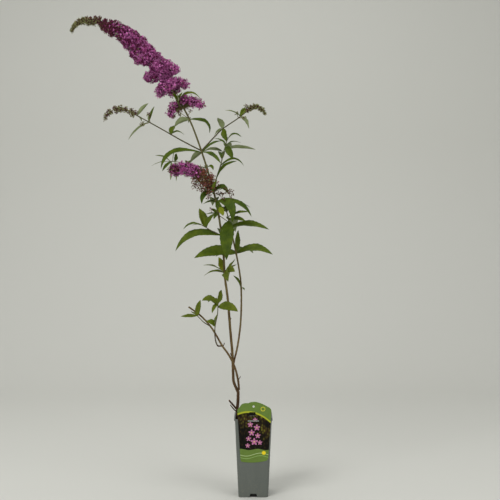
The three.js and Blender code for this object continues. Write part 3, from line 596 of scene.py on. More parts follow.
CYMES = {"spent_cyme": Cyme(Collar("main_stem", 701), (-66, -14, 699), spread=34, stalks=7, seed=34)}


# ---------------------------------------------------------------- shaders
class Value:
    """A socket that takes part in sums: each operator adds the Math node that it needs."""

    def __init__(self, tree: "Tree", socket: bpy.types.NodeSocket) -> None:
        """Wraps an output socket of a tree."""
        self.tree = tree
        self.socket = socket

    def math(self, operation: str, *others: "Value | float") -> "Value":
        """A Math node on this value and others."""
        return self.tree.math(operation, self, *others)

    __add__ = __radd__ = partialmethod(math, "ADD")
    __sub__ = partialmethod(math, "SUBTRACT")
    __mul__ = __rmul__ = partialmethod(math, "MULTIPLY")
    __truediv__ = partialmethod(math, "DIVIDE")
    __pow__ = partialmethod(math, "POWER")
    __lt__ = partialmethod(math, "LESS_THAN")
    __gt__ = partialmethod(math, "GREATER_THAN")
    __abs__ = partialmethod(math, "ABSOLUTE")
    least = partialmethod(math, "MINIMUM")
    most = partialmethod(math, "MAXIMUM")
    sine = partialmethod(math, "SINE")

    def __rsub__(self, other: float) -> "Value":
        """The difference from a number."""
        return self.tree.math("SUBTRACT", other, self)

    def clamped(self) -> "Value":
        """The value held between 0 and 1."""
        return self.most(0.0).least(1.0)

    def past(self, level: float, slope: float) -> "Value":
        """0 on one side of a level, and then a slope up to 1: below the level if it is negative."""
        return ((self - level) * slope).clamped()


class Tree:
    """The nodes of one material."""

    def __init__(self, name: str) -> None:
        """Starts a material with no nodes.

        Args:
            name: The material's name.
        """
        self.material = bpy.data.materials.new(name)
        self.material.use_nodes = True
        self.nodes = self.material.node_tree.nodes
        self.links = self.material.node_tree.links
        self.nodes.clear()

    def add(
        self,
        kind: str,
        settings: dict[str, object] | None = None,
        sockets: dict[str | int, object] | None = None,
        output: str | int = 0,
    ) -> Value:
        """Adds one node.

        Args:
            kind: The node's type.
            settings: Its own settings, set first.
            sockets: A value or a link for each input named.
            output: The output that is wanted.

        Returns:
            That output.
        """
        node = self.nodes.new(kind)
        for key, setting in (settings or {}).items():
            setattr(node, key, setting)
        for key, given in (sockets or {}).items():
            if isinstance(given, Value):
                self.links.new(given.socket, node.inputs[key])
            else:
                node.inputs[key].default_value = given
        return Value(self, node.outputs[output])

    def math(self, operation: str, *operands: Value | float) -> Value:
        """A Math node on these operands."""
        return self.add("ShaderNodeMath", {"operation": operation}, dict(enumerate(operands)))

    def place(self, stretch: Point = (1.0, 1.0, 1.0)) -> Value:
        """The object's own coordinates in metres, each axis scaled."""
        where = self.add("ShaderNodeTexCoord", output="Object")
        return self.add("ShaderNodeMapping", {}, {"Vector": where, "Scale": stretch})

    def axis(self, index: int) -> Value:
        """The object's own x, y or z in metres."""
        return self.add("ShaderNodeSeparateXYZ", {}, {0: self.place()}, output=index)

    def noise(self, scale: float, detail: float = 3.0, stretch: Point = (1.0, 1.0, 1.0)) -> Value:
        """Soft noise from 0 to 1, by its blots in each metre, its finer layers and its axes' scales."""
        sockets = {"Vector": self.place(stretch), "Scale": scale, "Detail": detail, "Roughness": 0.6}
        return self.add("ShaderNodeTexNoise", {}, sockets)

    def mix(self, share: Value | float, first: Value | Colour, second: Value | Colour) -> Value:
        """A colour between two."""
        settings = {"data_type": "RGBA"}
        return self.add("ShaderNodeMix", settings, {0: share, 6: first, 7: second}, output=2)

    def ramp(self, value: Value, *stops: tuple[float, Colour]) -> Value:
        """The colour at a value between stops.

        Args:
            value: Picks the colour.
            stops: The place and the colour of each stop.

        Returns:
            The colour.
        """
        colour = self.add("ShaderNodeValToRGB", {}, {"Fac": value})
        elements = colour.socket.node.color_ramp.elements
        while len(elements) < len(stops):
            elements.new(1.0)
        for element, (at, shade) in zip(elements, stops):
            element.position = at
            element.color = shade
        return colour

    def relief(self, height: Value, depth: float, strength: float) -> Value:
        """A normal that shows a height, in metres of depth."""
        return self.add("ShaderNodeBump", {}, {"Height": height, "Distance": depth, "Strength": strength})

    def finish(self, sockets: dict[str, object]) -> bpy.types.Material:
        """Closes the tree with a Principled shader.

        Args:
            sockets: A value or a link for each of its inputs named.

        Returns:
            The material.
        """
        shader = self.add("ShaderNodeBsdfPrincipled", {}, sockets, output="BSDF")
        surface = self.nodes.new("ShaderNodeOutputMaterial")
        self.links.new(shader.socket, surface.inputs["Surface"])
        return self.material


@dataclass(frozen=True)
class Finish:
    """A surface: a base colour with a second one blotted in, made into a material once.

    Attributes:
        name: The material's name.
        colour: Its main colour.
        second: The colour of its blots.
        roughness: From 0, glossy, to 1.
        blots: How many blots lie in each metre.
    """

    name: str
    colour: Colour
    second: Colour
    roughness: float
    blots: float = 60.0

    def material(self) -> bpy.types.Material:
        """The material, made at its first use.

        Returns:
            The material.
        """
        made = bpy.data.materials.get(self.name)
        if made is None:
            tree = Tree(self.name)
            made = tree.finish({"Roughness": self.roughness, **self.sockets(tree)})
        return made

    def sockets(self, tree: Tree) -> dict[str, object]:
        """What its shader's inputs take."""
        colour = tree.mix(tree.noise(self.blots), self.colour, self.second)
        return {"Base Color": colour, "Specular IOR Level": 0.15}


@dataclass(frozen=True)
class PotPlastic(Finish):
    """Matt recycled plastic: flow marks down the walls, scuffs, and dust low down."""

    dust: Colour = rgb(128, 124, 108)
    dust_below: float = 0.05

    def sockets(self, tree: Tree) -> dict[str, object]:
        """What its shader's inputs take.

        Args:
            tree: The material's nodes.

        Returns:
            A value or a link for each input named.
        """
        flow = tree.noise(70, 4, (1.0, 1.0, 0.18))
        grain = tree.noise(900, 2)
        low = (1 - tree.axis(2) / self.dust_below).most(0.0)
        dirt = tree.noise(320, 6).past(0.5, 3.2) * (0.16 + 0.5 * low)
        return {
            "Base Color": tree.mix(dirt, tree.mix(flow, self.colour, self.second), self.dust),
            "Roughness": self.roughness + 0.18 * (flow - 0.5) + 0.2 * dirt,
            "Normal": tree.relief(grain + 0.6 * flow, 0.0003, 0.5),
        }


@dataclass(frozen=True)
class Bark(Finish):
    """Thin bark in long strips, with pale flakes and dark cracks."""

    crack: Colour = rgb(44, 30, 22)

    def sockets(self, tree: Tree) -> dict[str, object]:
        """What its shader's inputs take.

        Args:
            tree: The material's nodes.

        Returns:
            A value or a link for each input named.
        """
        strips = tree.noise(900, 5, (1.0, 1.0, 0.09))
        ground = self.ground(tree, tree.noise(self.blots, 3, (1.0, 1.0, 0.4)))
        return {
            "Base Color": tree.mix(strips.past(0.44, -9), ground, self.crack),
            "Roughness": self.roughness + 0.1 * (strips - 0.5),
            "Normal": tree.relief(strips, 0.0012, 0.8),
            "Specular IOR Level": 0.2,
        }

    def ground(self, tree: Tree, patches: Value) -> Value:
        """The colour under the cracks."""
        return tree.mix(patches.past(0.35, 2.6), self.colour, self.second)


@dataclass(frozen=True)
class StemBark(Bark):
    """Brown bark that gives way to the greener bark of younger wood further up.

    Attributes:
        green: The young bark's colour.
        heights: Where it starts to show and where it is all green, in metres.
        old: The colour of the oldest bark, at the foot.
        old_below: The height under which that shows, in metres.
        fade: Over how many metres it fades.
    """

    green: Colour = rgb(92, 88, 52)
    heights: tuple[float, float] = (0.3, 0.7)
    old: Colour = rgb(66, 44, 30)
    old_below: float = 0.33
    fade: float = 0.14

    def ground(self, tree: Tree, patches: Value) -> Value:
        """The colour under the cracks.

        Args:
            tree: The material's nodes.
            patches: Broad soft blots, from 0 to 1.

        Returns:
            The colour.
        """
        height = tree.axis(2)
        low, high = self.heights
        share = ((height - low) / (high - low) + 0.5 * (patches - 0.5)).clamped()
        age = ((self.old_below - height) / self.fade + 1.6 * (patches - 0.5)).clamped()
        return tree.mix(share, tree.mix(age, super().ground(tree, patches), self.old), self.green)


@dataclass(frozen=True)
class Blade(Finish):
    """The face or the felted back of a leaf."""

    def sockets(self, tree: Tree) -> dict[str, object]:
        """What its shader's inputs take.

        Args:
            tree: The material's nodes.

        Returns:
            A value or a link for each input named.
        """
        broad = tree.noise(self.blots, 3)
        return {
            "Base Color": tree.mix(broad.past(0.34, 3.0), self.colour, self.second),
            "Roughness": self.roughness + 0.14 * (broad - 0.5),
            "Normal": tree.relief(tree.noise(1500, 2), 0.0003, 0.35),
            "Specular IOR Level": 0.12,
        }


@dataclass(frozen=True)
class Crumbs(Finish):
    """Moist dark substrate with paler fibres, painted near-black low down as the shade seen through the
    drainage notches.
    """

    fibre: Colour = rgb(122, 92, 60)
    notch_shade: Colour = rgb(12, 10, 8)
    notch_shade_below: float = 0.1

    def sockets(self, tree: Tree) -> dict[str, object]:
        """What its shader's inputs take.

        Args:
            tree: The material's nodes.

        Returns:
            A value or a link for each input named.
        """
        coarse = tree.noise(self.blots, 6)
        fibres = tree.noise(700, 3, (1.0, 0.15, 1.0)).past(0.64, 9)
        dry = tree.mix(fibres, tree.mix(coarse.past(0.42, 4), self.colour, self.second), self.fibre)
        return {
            # Painted shade: near-black low down, where the fill shows only through the drainage notches.
            "Base Color": tree.mix(tree.axis(2).past(self.notch_shade_below, -20), dry, self.notch_shade),
            "Normal": tree.relief(coarse, 0.004, 0.9),
        }


@dataclass(frozen=True)
class Print(Finish):
    """The label's printed face: green ground, a dark bed of leaves, and plain blossoms.

    Attributes:
        bed: The height of the dark bed's foot and of its arched top, in metres.
        blossoms: The place and the radius of each blossom, in metres.
        sun: The place and the radius of the yellow dot on the foot.
        ring: The place, the radius and the half width of the ring on the head.
    """

    bed: tuple[float, float] = (0.112, 0.199)
    blossoms: tuple[tuple[float, float, float], ...] = (
        (0.004, 0.181, 0.0055), (-0.007, 0.170, 0.0065), (0.008, 0.163, 0.0075),
        (-0.004, 0.151, 0.0075), (0.010, 0.144, 0.0065), (-0.011, 0.137, 0.006),
        (0.002, 0.130, 0.0085), (0.015, 0.128, 0.0055), (-0.013, 0.121, 0.0055),
    )
    sun: tuple[float, float, float] = (0.024, 0.104, 0.0045)
    ring: tuple[float, float, float, float] = (0.022, 0.206, 0.0045, 0.0008)

    def sockets(self, tree: Tree) -> dict[str, object]:
        """What its shader's inputs take.

        Args:
            tree: The material's nodes.

        Returns:
            A value or a link for each input named.
        """
        x, z = tree.axis(0), tree.axis(2)
        foot, top = self.bed
        made = tree.mix(tree.noise(120, 4), self.colour, self.second)
        arch = top - 9.0 * (x + 0.012) ** 2.0
        wave = z - (0.1 + 0.0035 * (x * 95).sine())
        for line, half, colour in (
            (z - arch, 0.0022, rgb(166, 172, 44)),
            (wave, 0.0006, rgb(176, 196, 140)),
            (wave + 0.006, 0.0005, rgb(150, 180, 110)),
        ):
            made = tree.mix(abs(line) < half, made, colour)
        inside = (z < arch - 0.0018) * (z > foot + 0.0015 * (x * 160).sine())
        made = tree.mix(inside, made, self._leaves(tree, x, z))
        for centre_x, centre_z, radius in self.blossoms:
            made = self._blossom(tree, made, x - centre_x, z - centre_z, radius)
        sun_x, sun_z, radius = self.sun
        made = tree.mix(self._from(x, z, sun_x, sun_z) < radius, made, rgb(232, 206, 40))
        ring_x, ring_z, radius, half = self.ring
        edge = abs(self._from(x, z, ring_x, ring_z) - radius)
        return {
            "Base Color": tree.mix(edge < half, made, rgb(196, 190, 60)),
            "Normal": tree.relief(tree.noise(60, 2), 0.0006, 0.25),
            "Specular IOR Level": 0.12,
        }

    @staticmethod
    def _from(x: Value, z: Value, centre_x: float, centre_z: float) -> Value:
        """The distance from a place."""
        return ((x - centre_x) ** 2.0 + (z - centre_z) ** 2.0) ** 0.5

    @staticmethod
    def _leaves(tree: Tree, x: Value, z: Value) -> Value:
        """Soft flecks of leaves in the dark bed, sunnier towards its top and its sides.

        Args:
            tree: The material's nodes.
            x: Across the label.
            z: Up the label.

        Returns:
            The colour.
        """
        sockets = {"Vector": tree.place((1, 1, 0.6)), "Scale": 210.0}
        flecks = tree.add("ShaderNodeTexVoronoi", {"feature": "F1"}, sockets)
        shade = tree.ramp(flecks, (0.0, rgb(58, 44, 20)), (0.35, rgb(22, 17, 9)), (0.8, rgb(9, 8, 5)))
        bright = (0.0, rgb(136, 134, 48)), (0.25, rgb(92, 90, 28))
        sunny = tree.ramp(flecks, *bright, (0.5, rgb(62, 44, 20)), (0.9, rgb(26, 20, 10)))
        light = (tree.noise(34, 3) - 0.53) * 6 + abs(x + 0.002) * 9 + (z - 0.162) * 17
        return tree.mix(light.clamped(), shade, sunny)

    @staticmethod
    def _blossom(tree: Tree, under: Value, x: Value, z: Value, radius: float) -> Value:
        """A plain five-petalled blossom with a pale eye, over what is painted so far.

        Args:
            tree: The material's nodes.
            under: The colour so far.
            x: Across from its middle.
            z: Up from its middle.
            radius: Its radius in metres.

        Returns:
            The colour with the blossom.
        """
        edge = radius * (0.76 + 0.24 * (z.math("ARCTAN2", x) * 5).sine())
        distance = (x * x + z * z) ** 0.5
        petal = tree.mix((distance / radius).least(1.0), rgb(150, 78, 122), rgb(196, 128, 168))
        painted = tree.mix(distance < edge, under, petal)
        return tree.mix(distance < 0.2 * radius, painted, rgb(214, 190, 120))


POT = PotPlastic("pot_plastic", rgb(98, 103, 97), rgb(90, 95, 90), 0.52)
# Painted shade: near-black on the inside of the pot and in its drainage notches, where shade falls.
POT_INSIDE_SHADE = Finish("painted_shade_plastic", rgb(24, 23, 20), rgb(34, 31, 26), 0.85, 90.0)
SUBSTRATE = Crumbs("moist_substrate", rgb(30, 22, 16), rgb(66, 48, 32), 0.95, 260.0)
CRUMB = Crumbs("loose_crumbs", rgb(38, 28, 20), rgb(84, 62, 42), 0.95, 420.0)
LABEL_FACE = Print("label_print", rgb(106, 130, 62), rgb(92, 116, 48), 0.5)
LABEL_BACK = Finish("label_sheet", rgb(196, 200, 190), rgb(184, 190, 178), 0.42, 30.0)
STRAP = Finish("strap_plastic", rgb(142, 147, 140), rgb(128, 134, 128), 0.5, 200.0)
OLD_BARK = StemBark("old_bark", rgb(86, 64, 40), rgb(128, 108, 68), 0.86, 120.0)
SPUR_BARK = Bark("spur_bark", rgb(62, 44, 32), rgb(78, 60, 42), 0.88, 160.0)
SHOOT_BARK = Bark("shoot_bark", rgb(72, 72, 42), rgb(82, 70, 44), 0.78, 90.0, crack=rgb(50, 44, 28))
CUT_WOOD = Finish("cut_wood", rgb(150, 120, 84), rgb(112, 84, 56), 0.9, 900.0)
TWIG_SKIN = Bark("twig_skin", rgb(82, 88, 48), rgb(86, 76, 46), 0.74, 140.0, crack=rgb(60, 54, 32))
RIB = Blade("leaf_rib", rgb(136, 148, 96), rgb(120, 134, 78), 0.6, 60.0)
LEAF_BACK = Blade("leaf_back", rgb(134, 142, 106), rgb(118, 128, 88), 0.85, 80.0)
LEAF_FACES = {
    Tint.DEEP: Blade("leaf_deep", rgb(54, 72, 13), rgb(76, 92, 17), 0.6, 45.0),
    Tint.MID: Blade("leaf_mid", rgb(60, 77, 14), rgb(84, 98, 21), 0.6, 45.0),
    Tint.OLIVE: Blade("leaf_olive", rgb(74, 87, 16), rgb(96, 106, 28), 0.6, 50.0),
    Tint.FRESH: Blade("leaf_fresh", rgb(86, 102, 22), rgb(104, 116, 30), 0.58, 45.0),
    Tint.YELLOW: Blade("leaf_yellow", rgb(124, 128, 18), rgb(108, 118, 20), 0.6, 60.0),
}
PETALS = {
    "bright": Finish("petal_bright", rgb(214, 126, 190), rgb(198, 108, 172), 0.65, 160.0),
    "mid": Finish("petal_mid", rgb(180, 86, 150), rgb(164, 72, 134), 0.65, 160.0),
    "deep": Finish("petal_deep", rgb(122, 44, 88), rgb(100, 34, 70), 0.7, 160.0),
}
THROAT = Finish("floret_throat", rgb(120, 40, 60), rgb(92, 28, 44), 0.7, 300.0)
BUD_MAROON = Finish("bud_maroon", rgb(104, 36, 60), rgb(78, 32, 44), 0.72, 220.0)
BUD_PURPLE = Finish("bud_purple", rgb(134, 46, 106), rgb(110, 38, 80), 0.72, 220.0)
BUD_OLIVE = Finish("bud_olive", rgb(152, 152, 104), rgb(124, 126, 76), 0.76, 220.0)
BUD_GREEN = Finish("bud_green", rgb(112, 118, 62), rgb(88, 94, 46), 0.76, 220.0)
CALYX = Finish("bud_calyx", rgb(84, 74, 48), rgb(68, 52, 38), 0.8, 220.0)
DRY = Finish("dry_flower", rgb(166, 96, 74), rgb(128, 70, 56), 0.9, 260.0)
DRY_MAUVE = Finish("dry_mauve", rgb(164, 106, 126), rgb(132, 86, 94), 0.88, 260.0)
DRY_OLIVE = Finish("dry_olive", rgb(134, 132, 70), rgb(106, 102, 52), 0.88, 260.0)
DRY_DARK = Finish("dry_capsule", rgb(100, 70, 52), rgb(76, 50, 40), 0.9, 260.0)
# Painted shade: the dark maroon of the balls under the florets, which stands for the shaded gaps between
# them.
HEART_SHADE = Finish("flower_heart_shade", rgb(72, 28, 46), rgb(62, 40, 32), 0.9, 160.0)
STALK_SKIN = Finish("flower_stalk", rgb(110, 108, 66), rgb(98, 78, 52), 0.75, 200.0)


# ---------------------------------------------------------------- curves and joined meshes
STANDPOINT = (-8.0, 570.0, 1800.0)  # x, z and distance that the plant's points are set out from
LEAF_FOOT = 0.985  # how much of its twig a leaf can root on
FULL_TURN = 6.28  # radians, near enough for what is left to chance
SPARE_DRAWS = 3  # numbers that are passed over after a head, so that the next ones keep theirs
UP = (0.0, 0.0, 1.0)


def place(point: Point) -> np.ndarray:
    """Carries a point of the front elevation back by its y, along its line of sight.

    Args:
        point: x, y and z in millimetres, as set out from the front.

    Returns:
        The point in millimetres.
    """
    x, y, z = point
    eye_x, eye_z, distance = STANDPOINT
    spread = 1 + y / distance
    return np.array((eye_x + (x - eye_x) * spread, y, eye_z + (z - eye_z) * spread))


def unit(vectors: np.ndarray) -> np.ndarray:
    """Vectors of length 1 that point the same way."""
    return vectors / np.maximum(np.linalg.norm(vectors, axis=-1, keepdims=True), 1e-9)


def lerp(start: Amount, end: Amount, share: Amount) -> Amount:
    """The value at a share of the way from start to end."""
    return start + (end - start) * share


def value_along(values: Sequence[float], share: Amount) -> Amount:
    """The value at a share of the way along a row of values at even steps."""
    return np.interp(share, np.linspace(0, 1, len(values)), values)


def random_row(seed: int) -> Callable[[], float]:
    """A seeded row of numbers from 0 to 1.

    Args:
        seed: A small whole number.

    Returns:
        A function that gives the next number.
    """
    state = seed * 7919

    def following() -> float:
        """The next number.

        Returns:
            The number.
        """
        nonlocal state
        state = (state * 1664525 + 1013904223) % 4294967296
        return state / 4294967296

    return following


class Way:
    """A smooth curve through points, centripetal Catmull-Rom, measured along its length."""

    STEPS = 60
    NEAR = 1.5  # millimetres ahead and behind over which its direction is taken

    def __init__(self, points: Sequence[Point]) -> None:
        """Samples the curve.

        Args:
            points: Points of the front elevation in millimetres.
        """
        knots = [place(point) for point in points]
        knots = [2 * knots[0] - knots[1], *knots, 2 * knots[-1] - knots[-2]]
        rows = [self._piece(*knots[i : i + 4]) for i in range(len(knots) - 3)]
        self.points = np.vstack([*rows, knots[-2][None, :]])
        gaps = np.linalg.norm(np.diff(self.points, axis=0), axis=1)
        self.marks = np.concatenate([[0.0], np.cumsum(gaps)])
        self.length = float(self.marks[-1])

    def _piece(self, a: np.ndarray, b: np.ndarray, c: np.ndarray, d: np.ndarray) -> np.ndarray:
        """Samples of the stretch from b to c, without c.

        Args:
            a: The point before.
            b: Where the stretch starts.
            c: Where it ends.
            d: The point after.

        Returns:
            The samples, one row each.
        """
        before, along, after = (np.linalg.norm(q - p) ** 0.5 for p, q in ((a, b), (b, c), (c, d)))
        start = ((b - a) / before - (c - a) / (before + along) + (c - b) / along) * along
        end = ((c - b) / along - (d - b) / (along + after) + (d - c) / after) * along
        t = (np.arange(self.STEPS) / self.STEPS)[:, None]
        return (
            (2 * t**3 - 3 * t**2 + 1) * b
            + (t**3 - 2 * t**2 + t) * start
            + (-2 * t**3 + 3 * t**2) * c
            + (t**3 - t**2) * end
        )

    def at(self, share: Amount) -> np.ndarray:
        """The point or points at shares of the length."""
        wanted = np.asarray(share) * self.length
        return np.stack([np.interp(wanted, self.marks, self.points[:, i]) for i in range(3)], axis=-1)

    def heading(self, share: Amount) -> np.ndarray:
        """The direction or directions at shares of the length.

        Args:
            share: One share or a row of them.

        Returns:
            Unit vectors.
        """
        near = self.NEAR / self.length
        ahead, behind = np.clip(share + near, 0, 1), np.clip(share - near, 0, 1)
        return unit(self.at(ahead) - self.at(behind))

    def share_at_height(self, height: float) -> float:
        """The share of the length at which the curve first passes a height.

        Args:
            height: In millimetres.

        Returns:
            The share, or 1 if it never gets there.
        """
        over = np.nonzero(self.points[:, 2] >= height)[0]
        index = int(over[0]) if len(over) else len(self.points) - 1
        return float(self.marks[index] / self.length)

    def nearest_share(self, point: np.ndarray) -> float:
        """The share of the length that lies nearest to a point."""
        index = int(np.argmin(np.linalg.norm(self.points - point, axis=1)))
        return float(self.marks[index] / self.length)

    def frames(self, shares: np.ndarray) -> tuple[np.ndarray, np.ndarray]:
        """Two directions square to the curve at each share, that don't twist on the way.

        Args:
            shares: The places, as shares of the length.

        Returns:
            The first and the second ones.
        """
        headings = self.heading(shares)
        normals = np.zeros_like(headings)
        side = np.cross(headings[0], (0.0, 1.0, 0.0))
        for i, heading in enumerate(headings):
            side = unit(side - heading * np.dot(side, heading))
            normals[i] = side
        return normals, np.cross(headings, normals)


class Batch:
    """Many small shapes gathered from arrays and joined as one mesh."""

    def __init__(self, name: str) -> None:
        """Starts an empty batch.

        Args:
            name: The name of the object that it becomes.
        """
        self.name = name
        self.points: list[np.ndarray] = []
        self.faces: list[tuple[np.ndarray, np.ndarray]] = []
        self.nodes: set[str] = set()
        self.count = 0

    def add_faces(self, corners: np.ndarray, part: Part) -> None:
        """Adds faces with the same number of corners, on the points that are added next."""
        self.faces.append((corners + self.count, np.full(len(corners), part.value, np.int32)))

    def add_points(self, points: np.ndarray) -> None:
        """Adds a shape's points in millimetres, after its faces."""
        self.points.append(points)
        self.count += len(points)

    def add_tube(self, made: tuple[np.ndarray, np.ndarray, np.ndarray]) -> None:
        """Adds a closed tube.

        Args:
            made: Its corners, its side faces and its caps' faces.
        """
        points, *faces = made
        for corners in faces:
            self.add_faces(corners, Part.FACE)
        self.add_points(points)

    def add_copies(
        self, shape: "Shape", centres: np.ndarray, axes: np.ndarray, spins: np.ndarray, sizes: np.ndarray
    ) -> None:
        """Adds copies of one small shape, each turned so that its own +Z points along an axis.

        Args:
            shape: The shape.
            centres: Where each copy's origin goes.
            axes: Unit vectors.
            spins: Turns about the axes, in radians.
            sizes: Scales, one for each copy or one row of three.
        """
        helper = np.where(np.abs(axes[:, 2:3]) < 0.9, UP, (1.0, 0.0, 0.0))
        first = unit(np.cross(helper, axes))
        second = np.cross(axes, first)
        cos, sin = np.cos(spins)[:, None], np.sin(spins)[:, None]
        turned = np.stack([first * cos + second * sin, second * cos - first * sin, axes], axis=1)
        scales = sizes[:, None, None] if sizes.ndim == 1 else sizes[:, None, :]
        made = (shape.points[None, :, :] * scales) @ turned + centres[:, None, :]
        offsets = (np.arange(len(centres)) * len(shape.points))[:, None, None]
        for corners, part in shape.faces:
            self.add_faces((corners[None, :, :] + offsets).reshape(-1, corners.shape[1]), part)
        self.add_points(made.reshape(-1, 3))

    def build(self, finishes: Sequence[Finish], smooth: bool = True) -> bpy.types.Object:
        """Makes the object.

        Args:
            finishes: One for each part that its faces use, in the order of the parts.
            smooth: Whether its faces are shaded smooth.

        Returns:
            The object, at the origin, with its place in its mesh.
        """
        mesh = bpy.data.meshes.new(self.name)
        points = np.concatenate(self.points) * MM
        corners = np.concatenate([rows.ravel() for rows, _ in self.faces]).astype(np.int32)
        sizes = np.concatenate([np.full(len(rows), rows.shape[1]) for rows, _ in self.faces])
        slots = np.concatenate([slots for _, slots in self.faces])
        mesh.vertices.add(len(points))
        mesh.vertices.foreach_set("co", points.astype(np.float32).ravel())
        mesh.loops.add(len(corners))
        mesh.loops.foreach_set("vertex_index", corners)
        mesh.polygons.add(len(sizes))
        starts = np.concatenate([[0], np.cumsum(sizes)[:-1]]).astype(np.int32)
        mesh.polygons.foreach_set("loop_start", starts)
        for finish in finishes:
            mesh.materials.append(finish.material())
        mesh.polygons.foreach_set("material_index", slots)
        mesh.polygons.foreach_set("use_smooth", np.full(len(sizes), smooth))
        mesh.update(calc_edges=True)
        made = bpy.data.objects.new(self.name, mesh)
        bpy.context.scene.collection.objects.link(made)
        return made


@dataclass(frozen=True)
class Shape:
    """A small closed shape that is copied many times: its corners and its faces by part."""

    points: np.ndarray
    faces: tuple[tuple[np.ndarray, Part], ...]


def circle(sides: int) -> np.ndarray:
    """Corners at even steps round a flat ring of one unit's radius."""
    angles = np.arange(sides) / sides * 2 * np.pi
    return np.stack([np.cos(angles), np.sin(angles), np.zeros(sides)], axis=-1)


def rings_to_tube(rings: int, sides: int) -> np.ndarray:
    """The four-cornered faces of a tube whose corners come ring by ring.

    Args:
        rings: How many rings it has.
        sides: How many corners a ring has.

    Returns:
        The faces, pointing outwards for rings that turn left about the way ahead.
    """
    ring = np.arange(rings - 1)[:, None] * sides
    side = np.arange(sides)[None, :]
    following = (side + 1) % sides
    ahead = ring + sides
    corners = [ring + side, ring + following, ahead + following, ahead + side]
    return np.stack(corners, axis=-1).reshape(-1, 4)


def ring_cap(hub: int, first: int, sides: int, forward: bool) -> np.ndarray:
    """The triangles that close a ring of corners.

    Args:
        hub: The number of the corner that they meet at.
        first: The number of the ring's first corner.
        sides: How many corners the ring has.
        forward: Whether they face the way ahead, and not back.

    Returns:
        The triangles.
    """
    side = first + np.arange(sides)
    following = np.roll(side, -1)
    pair = (side, following) if forward else (following, side)
    return np.stack([np.full(sides, hub), *pair], axis=-1)


def tube(
    way: Way, radii: Sequence[float], sides: int, step: float, rough: float = 0.0, seed: int = 1
) -> tuple[np.ndarray, np.ndarray, np.ndarray]:
    """A closed tube along a curve.

    Args:
        way: The curve.
        radii: Its radius at even steps.
        sides: Corners of a ring.
        step: Length between rings.
        rough: How uneven its skin is, as a share of the radius.
        seed: Picks the unevenness.

    Returns:
        Its corners, its side faces and its caps' faces.
    """
    rings = max(3, round(way.length / step) + 1)
    shares = np.linspace(0, 1, rings)
    normals, binormals = way.frames(shares)
    uneven = 1 + rough * np.random.default_rng(seed).normal(size=(rings, sides))
    radius = np.asarray(value_along(radii, shares))[:, None] * uneven
    cos, sin, _ = circle(sides).T[:, None, :, None]
    around = normals[:, None, :] * cos + binormals[:, None, :] * sin
    points = way.at(shares)[:, None, :] + around * radius[..., None]
    ends = np.stack([way.at(0.0), way.at(1.0)])
    foot = rings * sides
    caps = np.concatenate([ring_cap(foot, 0, sides, False), ring_cap(foot + 1, foot - sides, sides, True)])
    return np.concatenate([points.reshape(-1, 3), ends]), rings_to_tube(rings, sides), caps


